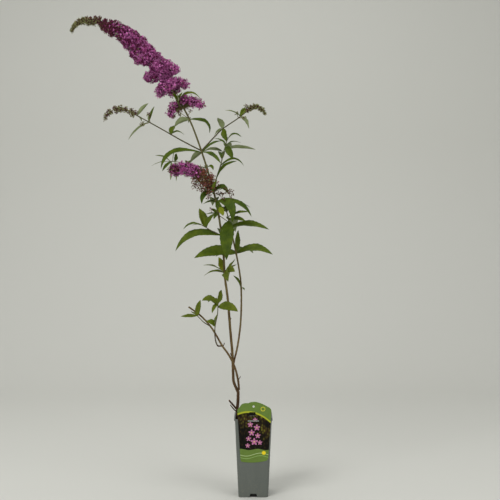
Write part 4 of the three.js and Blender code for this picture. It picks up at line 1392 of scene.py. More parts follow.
# ---------------------------------------------------------------- leaves
@dataclass(frozen=True)
class BladeForm:
    """The fine form of a leaf's blade.

    Attributes:
        columns: Places of its lengthwise lines, from one margin, -1, to the other, 1.
        veins: Side veins on each side of a long leaf.
        slant: How far a side vein runs forward by the margin, as a share of the length.
        fold: Rise of the margins over the midrib, as a share of the half width.
        skin: Thickness of the blade.
        petiole: Half the thickness of its stalk.
        quilt: How far the blade swells between its veins, as a share of the width.
        groove: How deep the midrib lies in the face, as a share of the width.
        keel: How far the midrib stands out of the back, as a share of the width.
        tooth: How far the margin's teeth stand out, as a share of the half width.
        wave: How far the margins wave up and down, as a share of the half width.
        waves: Waves along a margin.
        full: Length from which a leaf has all its veins.
    """

    columns: tuple[float, ...] = (-1.0, -0.86, -0.55, -0.26, -0.07, 0.07, 0.26, 0.55, 0.86, 1.0)
    veins: int = 9
    slant: float = 0.075
    fold: float = 0.42
    skin: float = 0.34
    petiole: float = 0.8
    quilt: float = 0.028
    groove: float = 0.012
    keel: float = 0.014
    tooth: float = 0.045
    wave: float = 0.08
    waves: float = 2.6
    full: float = 70.0

    def add_to(self, batch: Batch, root: np.ndarray, leaf: Leaf, chance: np.random.Generator) -> None:
        """Adds one leaf to a batch.

        Args:
            batch: Takes its faces.
            root: Where it springs from.
            leaf: Its sizes.
            chance: Picks its small unevenness.
        """
        tip = place(leaf.tip)
        chord = tip - root
        length = float(np.linalg.norm(chord))
        along = chord / length
        arch = unit(np.array(UP) - along * along[2])
        across = np.cross(arch, along)
        bend = root + chord * leaf.crest + arch * 2 * leaf.rise
        veins = max(4, round(self.veins * min(1.0, length / self.full)))
        rows = 3 * veins
        columns = np.array(self.columns)
        spread = np.abs(columns)
        midrib = spread < 0.1
        row = np.arange(rows + 1)[:, None]
        base = np.minimum(row / (rows + 1), 1)
        share = base + self.slant * spread * np.sin(np.pi * base) ** 0.7 * (1 - base)
        share = np.minimum(share, 0.995)
        t = share[..., None]
        middle = (1 - t) ** 2 * root + 2 * t * (1 - t) * bend + t**2 * tip
        tangent = unit(2 * (1 - t) * (bend - root) + 2 * t * (tip - bend))
        up = unit(np.cross(tangent, across))
        turn = math.radians(leaf.turn) * (-1 if across[1] > 0 else 1)
        side = across * math.cos(turn) - up * math.sin(turn)
        face = up * math.cos(turn) + across * math.sin(turn)
        outline = np.sin(np.pi * share**0.8) ** 0.9
        between = (row % 3 != 0) * np.ones_like(share)
        margin = spread > 0.99
        toothed = np.where(margin, 1 + self.tooth * np.where(row % 3 == 2, 1, -0.5), 1.0)
        stalk = np.maximum(self.petiole * 1.1 * (1 - 3 * share), 0.25 * (1 - share))
        half = np.maximum(leaf.width / 2 * outline * toothed, stalk)
        phase = chance.uniform(0, FULL_TURN, 2)
        ripple = np.sin(2 * np.pi * self.waves * share + np.where(columns < 0, phase[0], phase[1]))
        lift = self.fold * spread * half * outline
        lift = lift + self.wave * half * spread**2 * ripple * outline
        lift = lift + self.quilt * leaf.width * between * (1 - spread**2) * ~midrib
        lift = lift - self.groove * leaf.width * midrib
        skin = lerp(self.petiole, self.skin / 2, np.clip(share / 0.12, 0, 1))
        body = np.sqrt(np.maximum(1 - spread**4, 0)) * skin
        keel = self.keel * leaf.width * midrib * (1 - share)
        middle = middle + side * (columns * half)[..., None]
        top = middle + face * (lift + body)[..., None]
        back = (middle + face * (lift - body - keel)[..., None])[:, 1:-1]
        self._stitch(batch, top, back, tip)

    @staticmethod
    def _stitch(batch: Batch, top: np.ndarray, back: np.ndarray, tip: np.ndarray) -> None:
        """Joins the face and the back of a blade at its margins, its root and its tip.

        Args:
            batch: Takes the faces.
            top: The face's points, by row and column.
            back: The same of the back, without its margins.
            tip: The leaf's tip.
        """
        rows, columns = top.shape[:2]
        upper = np.arange(rows * columns).reshape(rows, columns)
        lower = upper.copy()
        lower[:, 1:-1] = upper.size + np.arange(rows * (columns - 2)).reshape(rows, columns - 2)
        last = lower.max() + 1
        rib = (columns - 1) // 2
        for grid, part, order in ((upper, Part.FACE, 1), (lower, Part.BACK, -1)):
            corners = [grid[:-1, :-1], grid[1:, :-1], grid[1:, 1:], grid[:-1, 1:]]
            sheet = np.stack(corners, axis=-1)[..., ::order]
            point = np.stack([grid[-1, :-1], np.full(columns - 1, last), grid[-1, 1:]], axis=-1)[:, ::order]
            batch.add_faces(np.delete(sheet, rib, axis=1).reshape(-1, 4), part)
            batch.add_faces(sheet[:, rib], part if part is Part.FACE else Part.RIB)
            batch.add_faces(point, part)
        root = np.concatenate([upper[0], lower[0, -2:0:-1]])
        batch.add_faces(root[None, :], Part.RIB)
        batch.add_points(np.concatenate([top.reshape(-1, 3), back.reshape(-1, 3), tip[None, :]]))


# ---------------------------------------------------------------- small flowers
NOTCH = -0.785  # radians from a lobe's middle to the notch beside it
LOBE = ((NOTCH, 0.36, 0.0), (-0.46, 0.86, 0.7), (0.0, 1.0, 1.0), (0.46, 0.86, 0.7))
THROAT_RINGS = ((0.17, -0.04), (0.19, -0.16), (0.12, -1.9))


def floret(curl: float, spread: float = 1.0) -> Shape:
    """A floret that looks along +Z: four lobes round a throat, on a slim tube.

    Args:
        curl: How far the lobes bend forward, or back when it is negative, as a share of their reach.
        spread: How wide they open.

    Returns:
        The floret, one unit from its middle to a lobe's end.
    """
    middles = [lobe * math.pi / 2 for lobe in range(4)]
    rows = [(at + turn, reach * spread, curl * rise) for at in middles for turn, reach, rise in LOBE]
    rows += [(at + NOTCH, out, height) for out, height in THROAT_RINGS for at in middles]
    points = [(out * math.cos(angle), out * math.sin(angle), height) for angle, out, height in rows]
    fours, threes = [], []
    for lobe in range(4):
        notch, left, tip, right = (4 * lobe + i for i in range(4))
        following = (4 * lobe + 4) % 16
        for inner, flip in ((16, False), (20, True)):
            here, there = inner + lobe, inner + (lobe + 1) % 4
            for corners, group in (
                ((here, notch, left, tip), fours),
                ((there, tip, right, following), fours),
                ((here, tip, there), threes),
            ):
                group.append(corners[::-1] if flip else corners)
    tube_faces = [(20 + i, 24 + i, 24 + (i + 1) % 4, 20 + (i + 1) % 4) for i in range(4)]
    eye = [(16 + i, 16 + (i + 1) % 4, 28) for i in range(4)]
    fours += tube_faces + [(27, 26, 25, 24)]
    groups = ((fours, Part.FACE), (threes, Part.FACE), (eye, Part.BACK))
    return Shape(np.array([*points, (0, 0, -0.3)]), tuple((np.array(rows), part) for rows, part in groups))


def lathed(
    profile: Sequence[tuple[float, float]], poles: tuple[float, float], sides: int, calyx: int = 0
) -> Shape:
    """A closed shape turned about +Z.

    Args:
        profile: The radius and the height of each ring, from below.
        poles: The heights of its two ends.
        sides: Corners of a ring.
        calyx: How many bands over its foot belong to its calyx.

    Returns:
        The shape.
    """
    rings = np.array([circle(sides) * radius + (0, 0, height) for radius, height in profile])
    points = np.concatenate([[(0, 0, poles[0])], rings.reshape(-1, 3), [(0, 0, poles[1])]])
    walls = rings_to_tube(len(rings), sides) + 1
    last = len(points) - 1
    faces = (
        (walls[: calyx * sides], Part.BACK),
        (walls[calyx * sides :], Part.FACE),
        (ring_cap(0, 1, sides, False), Part.BACK if calyx else Part.FACE),
        (ring_cap(last, last - sides, sides, True), Part.FACE),
    )
    return Shape(points, tuple(face for face in faces if len(face[0])))


def bud(slim: float) -> Shape:
    """A bud along +Z, one unit long, its lower half in its calyx and its half width given."""
    profile = ((0.7 * slim, 0.16), (slim, 0.45), (0.82 * slim, 0.5), (0.72 * slim, 0.82))
    return lathed(profile, (0.0, 1.0), 5, calyx=2)


def ball(rows: int = 5, sides: int = 8) -> Shape:
    """A closed ball of one unit's radius, by its rings between the poles and their corners."""
    slopes = np.arange(rows, 0, -1) / (rows + 1) * np.pi
    return lathed(np.column_stack([np.sin(slopes), np.cos(slopes)]), (-1.0, 1.0), sides)


def rod(sides: int = 5, tip: float = 0.85) -> Shape:
    """A closed rod along +Z, one unit long, one in radius at its foot and less at its tip.

    Args:
        sides: Corners of a ring.
        tip: Its radius at the tip.

    Returns:
        The rod.
    """
    ring = circle(sides)
    points = np.concatenate([ring, ring * tip + UP])
    caps = np.stack([np.arange(sides)[::-1], np.arange(sides) + sides])
    return Shape(points, ((rings_to_tube(2, sides), Part.FACE), (caps, Part.FACE)))


def even_directions(count: int, turn: float) -> np.ndarray:
    """Unit vectors spread evenly over a sphere.

    Args:
        count: How many.
        turn: Radians by which they are all turned about +Z.

    Returns:
        One row for each.
    """
    number = np.arange(count) + 0.5
    height = 1 - 2 * number / max(count, 1)
    reach = np.sqrt(1 - height**2)
    angle = number * math.pi * (3 - math.sqrt(5)) + turn
    return np.stack([reach * np.cos(angle), reach * np.sin(angle), height], axis=-1)


def square_to(tangent: np.ndarray, angle: float) -> np.ndarray:
    """A unit vector square to a direction, at an angle round it."""
    side = unit(np.array((0.0, 1.0, 0.0)) - tangent * tangent[1])
    return side * math.cos(angle) + np.cross(tangent, side) * math.sin(angle)


WAYS = {name: Way(limb.way) for name, limb in LIMBS.items()}


@dataclass(frozen=True)
class Ring:
    """A node worked out on its limb: its middle, the limb's direction and its radius there."""

    centre: np.ndarray
    tangent: np.ndarray
    limb: float

    @classmethod
    def on(cls, collar: Collar) -> "Ring":
        """The ring of a collar.

        Args:
            collar: The limb and the height.

        Returns:
            The ring.
        """
        way, limb = WAYS[collar.limb], LIMBS[collar.limb]
        share = way.share_at_height(collar.height)
        return cls(way.at(share), way.heading(share), lerp(*limb.radii, share))

    def towards(self, target: np.ndarray, out: float = 0.5) -> np.ndarray:
        """The point of the ring that faces a target, at a share of the limb's radius.

        Args:
            target: The point that it faces.
            out: The share of the radius.

        Returns:
            The point.
        """
        away = target - self.centre
        away = unit(away - self.tangent * np.dot(away, self.tangent))
        return self.centre + away * self.limb * out


@dataclass
class Foliage:
    """Leaves on nodes and on twigs, joined into one mesh for each tint, and the twigs in one more."""

    form: BladeForm = BladeForm()
    twig_sides: int = 8
    skin: float = 0.25
    seed: int = 5

    def build(self) -> Iterator[bpy.types.Object]:
        """Grows every spray.

        Returns:
            The finished objects in turn.
        """
        chance = np.random.default_rng(self.seed)
        blades = {tint: Batch(f"leaves_{tint.value}") for tint in Tint}
        twigs = Batch("leaf_twigs")
        for name, spray in SPRAYS.items():
            grown: list[tuple[Leaf, np.ndarray]] = []
            if spray.collar:
                ring = Ring.on(spray.collar)
                grown += [(leaf, ring.towards(place(leaf.tip))) for leaf in spray.leaves]
            if spray.twig:
                way = Way(spray.twig.way)
                radii = [radius + self.skin for radius in spray.twig.radii]
                twigs.add_tube(tube(way, radii, self.twig_sides, 2.5, 0.04, self.seed))
                twigs.nodes.add(name)
                grown += [(leaf, way.at(leaf.share * LEAF_FOOT)) for leaf in spray.twig.leaves]
            for leaf, root in grown:
                batch = blades[leaf.tint or spray.tint]
                batch.nodes.add(name)
                self.form.add_to(batch, root, leaf, chance)
        for tint, batch in blades.items():
            if batch.count:
                leaves = batch.build((LEAF_FACES[tint], LEAF_BACK, RIB))
                yield settled(leaves, "leaf", *sorted(batch.nodes))
        yield settled(twigs.build((TWIG_SKIN,)), "shoot", *sorted(twigs.nodes))
        spurs = Batch("dead_spurs")
        for spur in SPURS:
            spurs.add_tube(tube(Way(spur.way), spur.radii, self.twig_sides, 1.5, 0.12, self.seed))
        yield settled(spurs.build((SPUR_BARK,)), "bark")


@dataclass(frozen=True)
class Head:
    """A round cluster of florets.

    Attributes:
        centre: Its middle.
        radius: Its radius.
        share: Where along its spike it sits, which picks how far on its florets are.
        grain: The size of its florets, as a share of the usual.
    """

    centre: np.ndarray
    radius: float
    share: float
    grain: float = 1.0


@dataclass(frozen=True)
class Habit:
    """How the heads of one kind of bloom are covered.

    Attributes:
        pitch: From one floret or bud to the next.
        depth: How far in and out they stand by chance.
        lean: How far they lean off the head's outward direction.
        shade_heart: Radius of the dark ball under them, of the head's, which is painted shade for the gaps
            between them.
        fill: How thick the heads along the axis are, of the spike's half width.
        stalk: Radius of their own visible stalks, or 0.
        pits: The share of heads that have a gap in their cover.
        finer: For smaller heads: the step between whorls, their arms and the radius, in half widths.
    """

    pitch: float
    depth: float
    lean: float
    shade_heart: float
    fill: float
    stalk: float = 0.0
    pits: float = 0.0
    finer: tuple[float, int, float] | None = None


HABITS = {
    Bloom.OPEN: Habit(pitch=3.9, depth=1.5, lean=0.5, shade_heart=0.48, fill=0.93, pits=0.35),
    Bloom.LOOSE: Habit(pitch=4.4, depth=2.5, lean=0.55, shade_heart=0.28, fill=0.0, pits=0.45),
    Bloom.FADING: Habit(pitch=3.8, depth=1.5, lean=0.5, shade_heart=0.48, fill=0.9, pits=0.25),
    Bloom.BUDS: Habit(pitch=3.1, depth=0.7, lean=0.5, shade_heart=0.9, fill=0.36, finer=(0.85, 5, 0.25)),
    Bloom.BEADS: Habit(pitch=3.0, depth=0.4, lean=0.4, shade_heart=0.5, fill=0.0, finer=(1.18, 3, 0.38)),
    Bloom.DRY: Habit(pitch=3.6, depth=3.0, lean=0.6, shade_heart=0.42, fill=0.36, stalk=0.2, pits=0.55),
    Bloom.SEED: Habit(pitch=6.2, depth=2.0, lean=0.6, shade_heart=0.0, fill=0.0, stalk=0.28),
}


def dealt(usual: str | np.ndarray, **tests: np.ndarray) -> np.ndarray:
    """Deals out kinds by tests.

    Args:
        usual: The kind of what passes no test.
        tests: Of each kind, which ones are of it, the first test that they pass.

    Returns:
        The kinds.
    """
    return np.select(list(tests.values()), list(tests), usual)


STALKS = {
    "axis": (1.3, 0.7), "lobe": 0.9, "hub": 0.8, "tuft": 0.75, "head": 0.6, "fan": 0.45,
    "capsule": 0.45, "bud": 0.4,
}  # their radii
PACKING = 0.87  # the share of a head's surface that evenly spread florets cover


@dataclass
class Flowers:
    """Florets, buds and dry flowers on the heads of spikes, whorls and cymes.

    Attributes:
        floret_reach: From a floret's middle to a lobe's end, least and most.
        dry_reach: The same of a withered one.
        bud_length: Least and most.
        head: Radius of a whorl's head, of the spike's half width.
        head_reach: How far out such a head stands, of what is left of the half width.
        swing: How far by chance it is turned, of the angle to the next.
        seat: How far out on its head a floret sits, of the head's radius.
        clear: How near it comes to the middle of another head, of that head's radius.
        pit: How nearly a floret faces the middle of a gap in its head's cover to be left out.
        behind: How nearly it faces where the stalks meet to be left out.
        stray: How far it stands off its place by chance.
        buds_span: Where on a spike of buds the first and the last whorl may be.
        buds_reach: How far out their heads stand, of the half width.
        buds_strew: How far they stand off their whorl by chance, of the half width.
        buds_proud: How far buds stand out of their head.
        buds_full: The half width from which buds have their full size.
        core_span: Where on a spike the first and the last head of its core may be.
        core_step: From one such head to the next, of its radius.
        capsule: Radius of a head of capsules.
        seed: Picks what is left to chance.
    """

    floret_reach: tuple[float, float] = (2.1, 3.4)
    dry_reach: tuple[float, float] = (1.7, 2.9)
    bud_length: tuple[float, float] = (2.6, 3.8)
    head: float = 0.44
    head_reach: tuple[float, float] = (0.86, 1.16)
    swing: float = 0.3
    seat: float = 0.88
    clear: float = 0.86
    pit: float = 0.87
    behind: float = 0.7
    stray: float = 0.4
    buds_span: tuple[float, float] = (0.03, 0.985)
    buds_reach: tuple[float, float] = (0.76, 1.18)
    buds_strew: float = 0.13
    buds_proud: float = 1.9
    buds_full: float = 8.0
    core_span: tuple[float, float] = (0.02, 0.99)
    core_step: float = 0.62
    capsule: float = 4.2
    seed: int = 8
    batches: dict[str, Batch] = field(default_factory=dict)

    PALETTES = {
        "petals_bright": (PETALS["bright"], THROAT),
        "petals_mid": (PETALS["mid"], THROAT),
        "petals_deep": (PETALS["deep"], THROAT),
        "flower_hearts": (HEART_SHADE,),
        "dry_hearts": (DRY_DARK,),
        "buds_maroon": (BUD_MAROON, CALYX),
        "buds_olive": (BUD_OLIVE, CALYX),
        "buds_green": (BUD_GREEN, BUD_OLIVE),
        "buds_purple": (BUD_PURPLE, BUD_MAROON),
        "dry_flowers": (DRY, DRY_DARK),
        "dry_mauve": (DRY_MAUVE, DRY),
        "dry_olive": (DRY_OLIVE, DRY_DARK),
        "dry_capsules": (DRY_DARK, DRY_DARK),
        "flower_stalks": (STALK_SKIN,),
    }
    SLOTS = {"petals": "blossom", "flower": "blossom", "buds": "buds", "dry": "spent"}

    def build(self) -> Iterator[bpy.types.Object]:
        """Grows every spike, whorl and cyme.

        Returns:
            The finished objects in turn.
        """
        self.batches = {name: Batch(name) for name in self.PALETTES}
        self.chance = np.random.default_rng(self.seed)
        self.open_florets = (floret(-0.12), floret(0.22), floret(0.05, 0.86))
        self.withered = floret(0.55, 0.72)
        self.bud, self.pod, self.rod, self.ball = bud(0.36), bud(0.48), rod(), ball()
        for name, spike in SPIKES.items():
            self._grow_spike(name, spike)
        for name, whorl in WHORLS.items():
            self._grow_whorl(name, whorl)
        for name, cyme in CYMES.items():
            self._grow_cyme(name, cyme)
        for tuft in TUFTS:
            middle = place(tuft.place)
            self._link(place(tuft.foot), middle, STALKS["tuft"])
            self._cover(tuft.node, [Head(middle, tuft.radius, 0.3)], tuft.bloom)
        for name, batch in self.batches.items():
            made = batch.build(self.PALETTES[name])
            yield settled(made, self.SLOTS[name.split("_")[0]], *sorted(batch.nodes))

    def _link(self, starts: np.ndarray, ends: np.ndarray, radius: float) -> None:
        """Adds straight stalks from row to row.

        Args:
            starts: Where they start.
            ends: Where they end.
            radius: Their radius.
        """
        ways = np.atleast_2d(ends - starts)
        starts = np.broadcast_to(starts, ways.shape)
        lengths = np.linalg.norm(ways, axis=1)
        sizes = np.column_stack([np.full((len(ways), 2), radius), lengths])
        self.batches["flower_stalks"].add_copies(self.rod, starts, unit(ways), np.zeros(len(ways)), sizes)

    def _grow_spike(self, name: str, spike: Spike) -> None:
        """Grows one spike: its heads by the rule of its whorls, then what covers them and its axis.

        Args:
            name: The CAD node that it replaces.
            spike: Its sizes.
        """
        random = random_row(spike.seed)
        habit = HABITS[spike.bloom]
        way = Way(spike.way)
        heads = []
        for whorl in range(spike.whorls):
            share = (whorl + 0.5) / spike.whorls
            centre, tangent = way.at(share), way.heading(share)
            half = float(value_along(spike.girth, share))
            for arm in range(spike.arms):
                angle = (arm + 0.5 * (whorl % 2) + self.swing * random()) / spike.arms * 2 * math.pi
                reach = half * (1 - self.head) * lerp(*self.head_reach, random())
                out = square_to(tangent, angle)
                heads.append(Head(centre + out * reach, half * self.head, share))
                self._link(centre, centre + out * reach, STALKS["head"])
                for _ in range(SPARE_DRAWS):
                    random()
        seeds = []
        for lobe in spike.lobes + spike.fringe:
            centre = place(lobe.place)
            share = way.nearest_share(centre)
            root = way.at(share)
            half = float(value_along(spike.girth, share))
            self._link(root, centre, STALKS["lobe"])
            if lobe in spike.fringe:
                seeds.append(Head(centre, lobe.radius, share))
                continue
            for part in (0.4, 0.7, 1.0):
                heads.append(Head(lerp(root, centre, part), lerp(0.85 * half, lobe.radius, part), share))
        stalks = self.batches["flower_stalks"]
        stalks.add_tube(tube(way, STALKS["axis"], 8, 3.0))
        stalks.nodes.add(name)
        if habit.finer:
            heads.extend(self._finer_heads(way, spike, *habit.finer))
        if habit.fill:
            heads.extend(self._core_heads(way, np.array(spike.girth) * habit.fill, spike.young))
        self._cover(name, heads, spike.bloom)
        if seeds:
            self._cover(name, seeds, Bloom.SEED)

    def _finer_heads(self, way: Way, spike: Spike, step: float, arms: int, size: float) -> list[Head]:
        """Small heads of buds in whorls along a spike.

        Args:
            way: The spike's axis.
            spike: Its sizes.
            step: From one whorl to the next, of the spike's half width.
            arms: Heads in a whorl.
            size: A head's radius, of the spike's half width.

        Returns:
            The heads.
        """
        heads, start = [], 0.0
        share, last = self.buds_span
        while share < last:
            centre, tangent = way.at(share), way.heading(share)
            half = float(value_along(spike.girth, share))
            grain = min(1.0, max(0.7, half / self.buds_full))
            start += 0.5
            for arm in range(arms):
                turn = arm + start + self.swing * self.chance.random()
                out = square_to(tangent, turn / arms * 2 * math.pi)
                reach = half * self.chance.uniform(*self.buds_reach) - half * size - self.buds_proud * grain
                aside = tangent * self.chance.normal(0, self.buds_strew * half)
                spot = centre + out * max(0.5, reach) + aside
                heads.append(Head(spot, half * size, share + spike.young, grain))
                self._link(centre - tangent * 2, spot, STALKS["bud"])
            share += step * half / way.length
        return heads

    def _core_heads(self, way: Way, core: np.ndarray, young: float) -> list[Head]:
        """Heads strung along a spike's axis, which fill it between the whorls.

        Args:
            way: The spike's axis.
            core: Their radius, at even steps along it.
            young: How much further from opening they are.

        Returns:
            The heads.
        """
        heads = []
        share, last = self.core_span
        while share < last:
            radius = float(value_along(core, share))
            heads.append(Head(way.at(share), radius, share + young))
            share += self.core_step * radius / way.length
        return heads

    def _grow_whorl(self, name: str, whorl: Whorl) -> None:
        """Grows fans of heads round a node, each fan filled to a dome.

        Args:
            name: The CAD node that it replaces.
            whorl: Its sizes.
        """
        ring = Ring.on(whorl.collar)
        heads = []
        for fan in whorl.fans:
            out = np.array(fan.heading, float)
            out = unit(out - ring.tangent * np.dot(out, ring.tangent))
            count = 2 * fan.heads - 1
            across = np.cross(out, ring.tangent)
            for i in range(3 * count):
                share = (i // 3) / (count - 1)
                rise = lerp(fan.lift, fan.drop, share**1.6) + 2.0
                aside = across * (i % 3 - 1) * fan.radius * 0.6
                centre = ring.centre + out * lerp(*fan.reach, share) + ring.tangent * rise + aside
                heads.append(Head(centre, fan.radius * (1.05 - 0.15 * share), 0.2))
                self._link(ring.centre, centre, STALKS["fan"])
        self.batches["flower_stalks"].nodes.add(name)
        self._cover(name, heads, Bloom.LOOSE, ring.centre)

    def _grow_cyme(self, name: str, cyme: Cyme) -> None:
        """Grows a spray of dry stalks with capsules.

        Args:
            name: The CAD node that it replaces.
            cyme: Its sizes.
        """
        random = random_row(cyme.seed)
        ring = Ring.on(cyme.collar)
        middle = place(cyme.heading)
        root = ring.towards(middle)
        hub = root + (middle - root) * 0.3
        for _ in range(SPARE_DRAWS):
            random()
        self._link(root, hub, STALKS["hub"])
        heads = [Head(hub, 1.8, 0.5)]
        for _ in range(cyme.stalks):
            offset = np.array([(random() - 0.5) * cyme.spread for _ in range(3)]) * (1, 1, 0.6)
            self._link(hub, middle + offset, STALKS["capsule"])
            heads.append(Head(middle + offset, self.capsule, 0.5))
        self.batches["flower_stalks"].nodes.add(name)
        self._cover(name, heads, Bloom.SEED)

    def _cover(self, name: str, heads: list[Head], bloom: Bloom, hub: np.ndarray | None = None) -> None:
        """Covers heads with florets, buds or dry flowers that face outwards.

        Args:
            name: The CAD node that they replace.
            heads: The clusters.
            bloom: How far on they are.
            hub: Where their stalks meet, which no floret faces.
        """
        habit = HABITS[bloom]
        centres = np.array([head.centre for head in heads])
        radii = np.array([head.radius for head in heads])
        count = len(heads)
        # Dark balls under the florets as painted shade for the gaps between them; under dry flowers they take
        # the capsules' colour.
        if habit.shade_heart:
            shade_hearts = self.batches["dry_hearts" if bloom is Bloom.DRY else "flower_hearts"]
            upright = np.tile(UP, (count, 1))
            shade_hearts.add_copies(self.ball, centres, upright, np.zeros(count), radii * habit.shade_heart)
            shade_hearts.nodes.add(name)
        for index, head in enumerate(heads):
            number = max(5, round(4 * math.pi * head.radius**2 / (habit.pitch**2 * PACKING)))
            ways = even_directions(number, self.chance.uniform(0, FULL_TURN))
            turns = unit(self.chance.normal(size=(2, 3)))
            ways = ways - 2 * np.outer(ways @ turns[0], turns[0])
            spots = head.centre + ways * head.radius * self.seat
            gaps = np.linalg.norm(spots[:, None, :] - centres[None], axis=2) / radii[None]
            gaps[:, index] = np.inf
            free = gaps.min(axis=1) > self.clear
            if hub is not None:
                free &= ways @ unit(hub - head.centre) < self.behind
            if self.chance.random() < habit.pits:
                free &= ways @ unit(self.chance.normal(size=3)) < self.pit
            self._scatter(name, head, ways[free], bloom)

    def _scatter(self, name: str, head: Head, ways: np.ndarray, bloom: Bloom) -> None:
        """Deals florets or buds of several kinds over one head.

        Args:
            name: The CAD node that they replace.
            head: The head.
            ways: The directions that are free to carry one.
            bloom: How far on they are.
        """
        habit = HABITS[bloom]
        count = len(ways)
        if not count:
            return
        axes = unit(ways + self.chance.normal(0, habit.lean, (count, 3)))
        depths = self.chance.normal(0, habit.depth, count)
        spots = head.centre + ways * (head.radius * self.seat + depths)[:, None]
        spots = spots + self.chance.normal(0, self.stray, (count, 3))
        if habit.stalk:
            self._link(np.broadcast_to(head.centre, spots.shape), spots, habit.stalk)
        spins = self.chance.uniform(0, FULL_TURN, count)
        kinds = self._kinds(head.share, ways[:, 2], bloom)
        for kind in sorted(set(kinds)):
            chosen = kinds == kind
            batch = self.batches[kind]
            batch.nodes.add(name)
            number = int(chosen.sum())
            if kind.startswith("petals"):
                shape = self.open_florets[int(self.chance.integers(3))]
                sizes = self.chance.uniform(*self.floret_reach, number)
            elif kind in ("dry_flowers", "dry_mauve"):
                shape = self.withered
                sizes = self.chance.uniform(*self.dry_reach, number)
            else:
                shape = self.pod if bloom is Bloom.SEED else self.bud
                sizes = self.chance.uniform(*self.bud_length, number)
            batch.add_copies(shape, spots[chosen], axes[chosen], spins[chosen], sizes * head.grain)

    def _kinds(self, share: float, rise: np.ndarray, bloom: Bloom) -> np.ndarray:
        """Picks a kind for each of a head's florets.

        Args:
            share: Where along its spike the head sits.
            rise: How far up each floret faces, from -1 to 1.
            bloom: How far on they are.

        Returns:
            The names of their batches.
        """
        draw = self.chance.random(len(rise))
        tone = self.chance.normal(0, 0.12)
        if bloom is Bloom.BEADS:
            ripe = self.chance.choice((0.3, 0.55, 0.8))
            return dealt("buds_maroon", buds_olive=draw < ripe, buds_green=draw > 0.9)
        if bloom is Bloom.BUDS:
            olive = 1.6 * share - 0.1 - 0.5 * rise + tone > 0.3 + 0.4 * draw
            green, purple = olive & (share > 0.5 + draw), draw > 0.5 + 2 * share
            return dealt("buds_maroon", buds_green=green, buds_olive=olive, buds_purple=purple)
        if bloom is Bloom.SEED:
            return dealt("dry_capsules", dry_flowers=draw < 0.12, dry_mauve=draw < 0.4)
        if bloom is Bloom.DRY:
            limits = {"dry_flowers": 0.4, "dry_mauve": 0.52, "dry_olive": 0.74}
            return dealt("dry_capsules", **{kind: draw < limit for kind, limit in limits.items()})
        ease = {Bloom.LOOSE: 0.12, Bloom.FADING: 0.26}.get(bloom, 0.3 * (0.55 - share))
        shade = tone + draw + ease
        petals = dealt("petals_bright", petals_deep=shade < 0.22, petals_mid=shade < 0.6)
        odd = self.chance.random(len(rise))
        if bloom is Bloom.LOOSE:
            return dealt(petals, buds_olive=odd < 0.05, buds_maroon=odd < 0.1)
        if bloom is Bloom.FADING:
            worn = min(1.0, max(0.0, share - 0.5) * 5.0) * (1 - rise**2) > 0.68 + tone
            over = dealt("petals_deep", buds_olive=draw < 0.14, buds_maroon=draw < 0.6)
            old = 1.6 * max(0.0, 0.22 - share)
            maroon, mauve = odd < 0.1 + old, odd < 0.1 + 2 * old
            fresh = dealt(petals, buds_olive=odd < 0.04, buds_maroon=maroon, dry_mauve=mauve)
            return np.where(worn, over, fresh)
        late = max(0.0, share - 0.72) * 2.6
        maroon, olive = odd < 0.03 + 0.75 * late, odd < 0.04 + late * (1 - 0.35 * rise)
        return dealt(petals, buds_maroon=maroon, buds_olive=olive, buds_purple=odd < 0.05 + 1.3 * late)


def settled(piece: bpy.types.Object, slot: str, *nodes: str) -> bpy.types.Object:
    """Ties a finished piece to the part.

    Args:
        piece: The piece.
        slot: The material slot of the record that its finish belongs to; not used.
        nodes: The CAD nodes that it stands for.

    Returns:
        The same piece.
    """
    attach(piece, "root")
    if nodes:
        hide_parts(*nodes)
    return piece


# ---------------------------------------------------------------- modelling by operators
def deselect() -> None:
    """Deselects every object."""
    bpy.ops.object.select_all(action="DESELECT")


def only(piece: bpy.types.Object) -> None:
    """Makes a piece the one that is selected and active.

    Args:
        piece: The piece.
    """
    deselect()
    piece.select_set(True)
    bpy.context.view_layer.objects.active = piece


def named(name: str) -> bpy.types.Object:
    """Gives the primitive that was just added its name, with its place in its mesh.

    Args:
        name: The name.

    Returns:
        The primitive.
    """
    piece = bpy.context.active_object
    piece.name = piece.data.name = name
    bpy.ops.object.transform_apply(location=True, rotation=True, scale=True)
    return piece


@contextmanager
def editing(piece: bpy.types.Object, mode: str = "FACE") -> Iterator[None]:
    """Edit mode on one piece, with nothing selected at first.

    Args:
        piece: The piece.
        mode: VERT, EDGE or FACE.
    """
    only(piece)
    bpy.ops.object.mode_set(mode="EDIT")
    bpy.ops.mesh.select_mode(type=mode)
    bpy.ops.mesh.select_all(action="DESELECT")
    yield
    bpy.ops.object.mode_set(mode="OBJECT")


def pick_faces(piece: bpy.types.Object, test: Callable[[Vector, Vector], bool]) -> None:
    """Selects in edit mode just the faces that pass a test.

    Args:
        piece: The piece.
        test: Takes a face's middle in millimetres and its normal.
    """
    shape = bmesh.from_edit_mesh(piece.data)
    shape.normal_update()
    for face in shape.faces:
        face.select_set(test(face.calc_center_median() / MM, face.normal))
    shape.select_flush_mode()
    bmesh.update_edit_mesh(piece.data)


def pick_edges(piece: bpy.types.Object, test: Callable[[Vector, Vector], bool]) -> None:
    """Selects in edit mode just the edges that pass a test.

    Args:
        piece: The piece.
        test: Takes an edge's two ends in millimetres.
    """
    shape = bmesh.from_edit_mesh(piece.data)
    for edge in shape.edges:
        edge.select_set(test(*(vertex.co / MM for vertex in edge.verts)))
    bmesh.update_edit_mesh(piece.data)


def push_out(move: Point) -> None:
    """Extrudes the selected faces and moves them by millimetres."""
    bpy.ops.mesh.extrude_region_move(TRANSFORM_OT_translate={"value": Vector(move) * MM})


def widen(x: float, y: float) -> None:
    """Scales what is selected in x and y about the middle."""
    bpy.ops.transform.resize(value=(x, y, 1.0), center_override=(0, 0, 0))


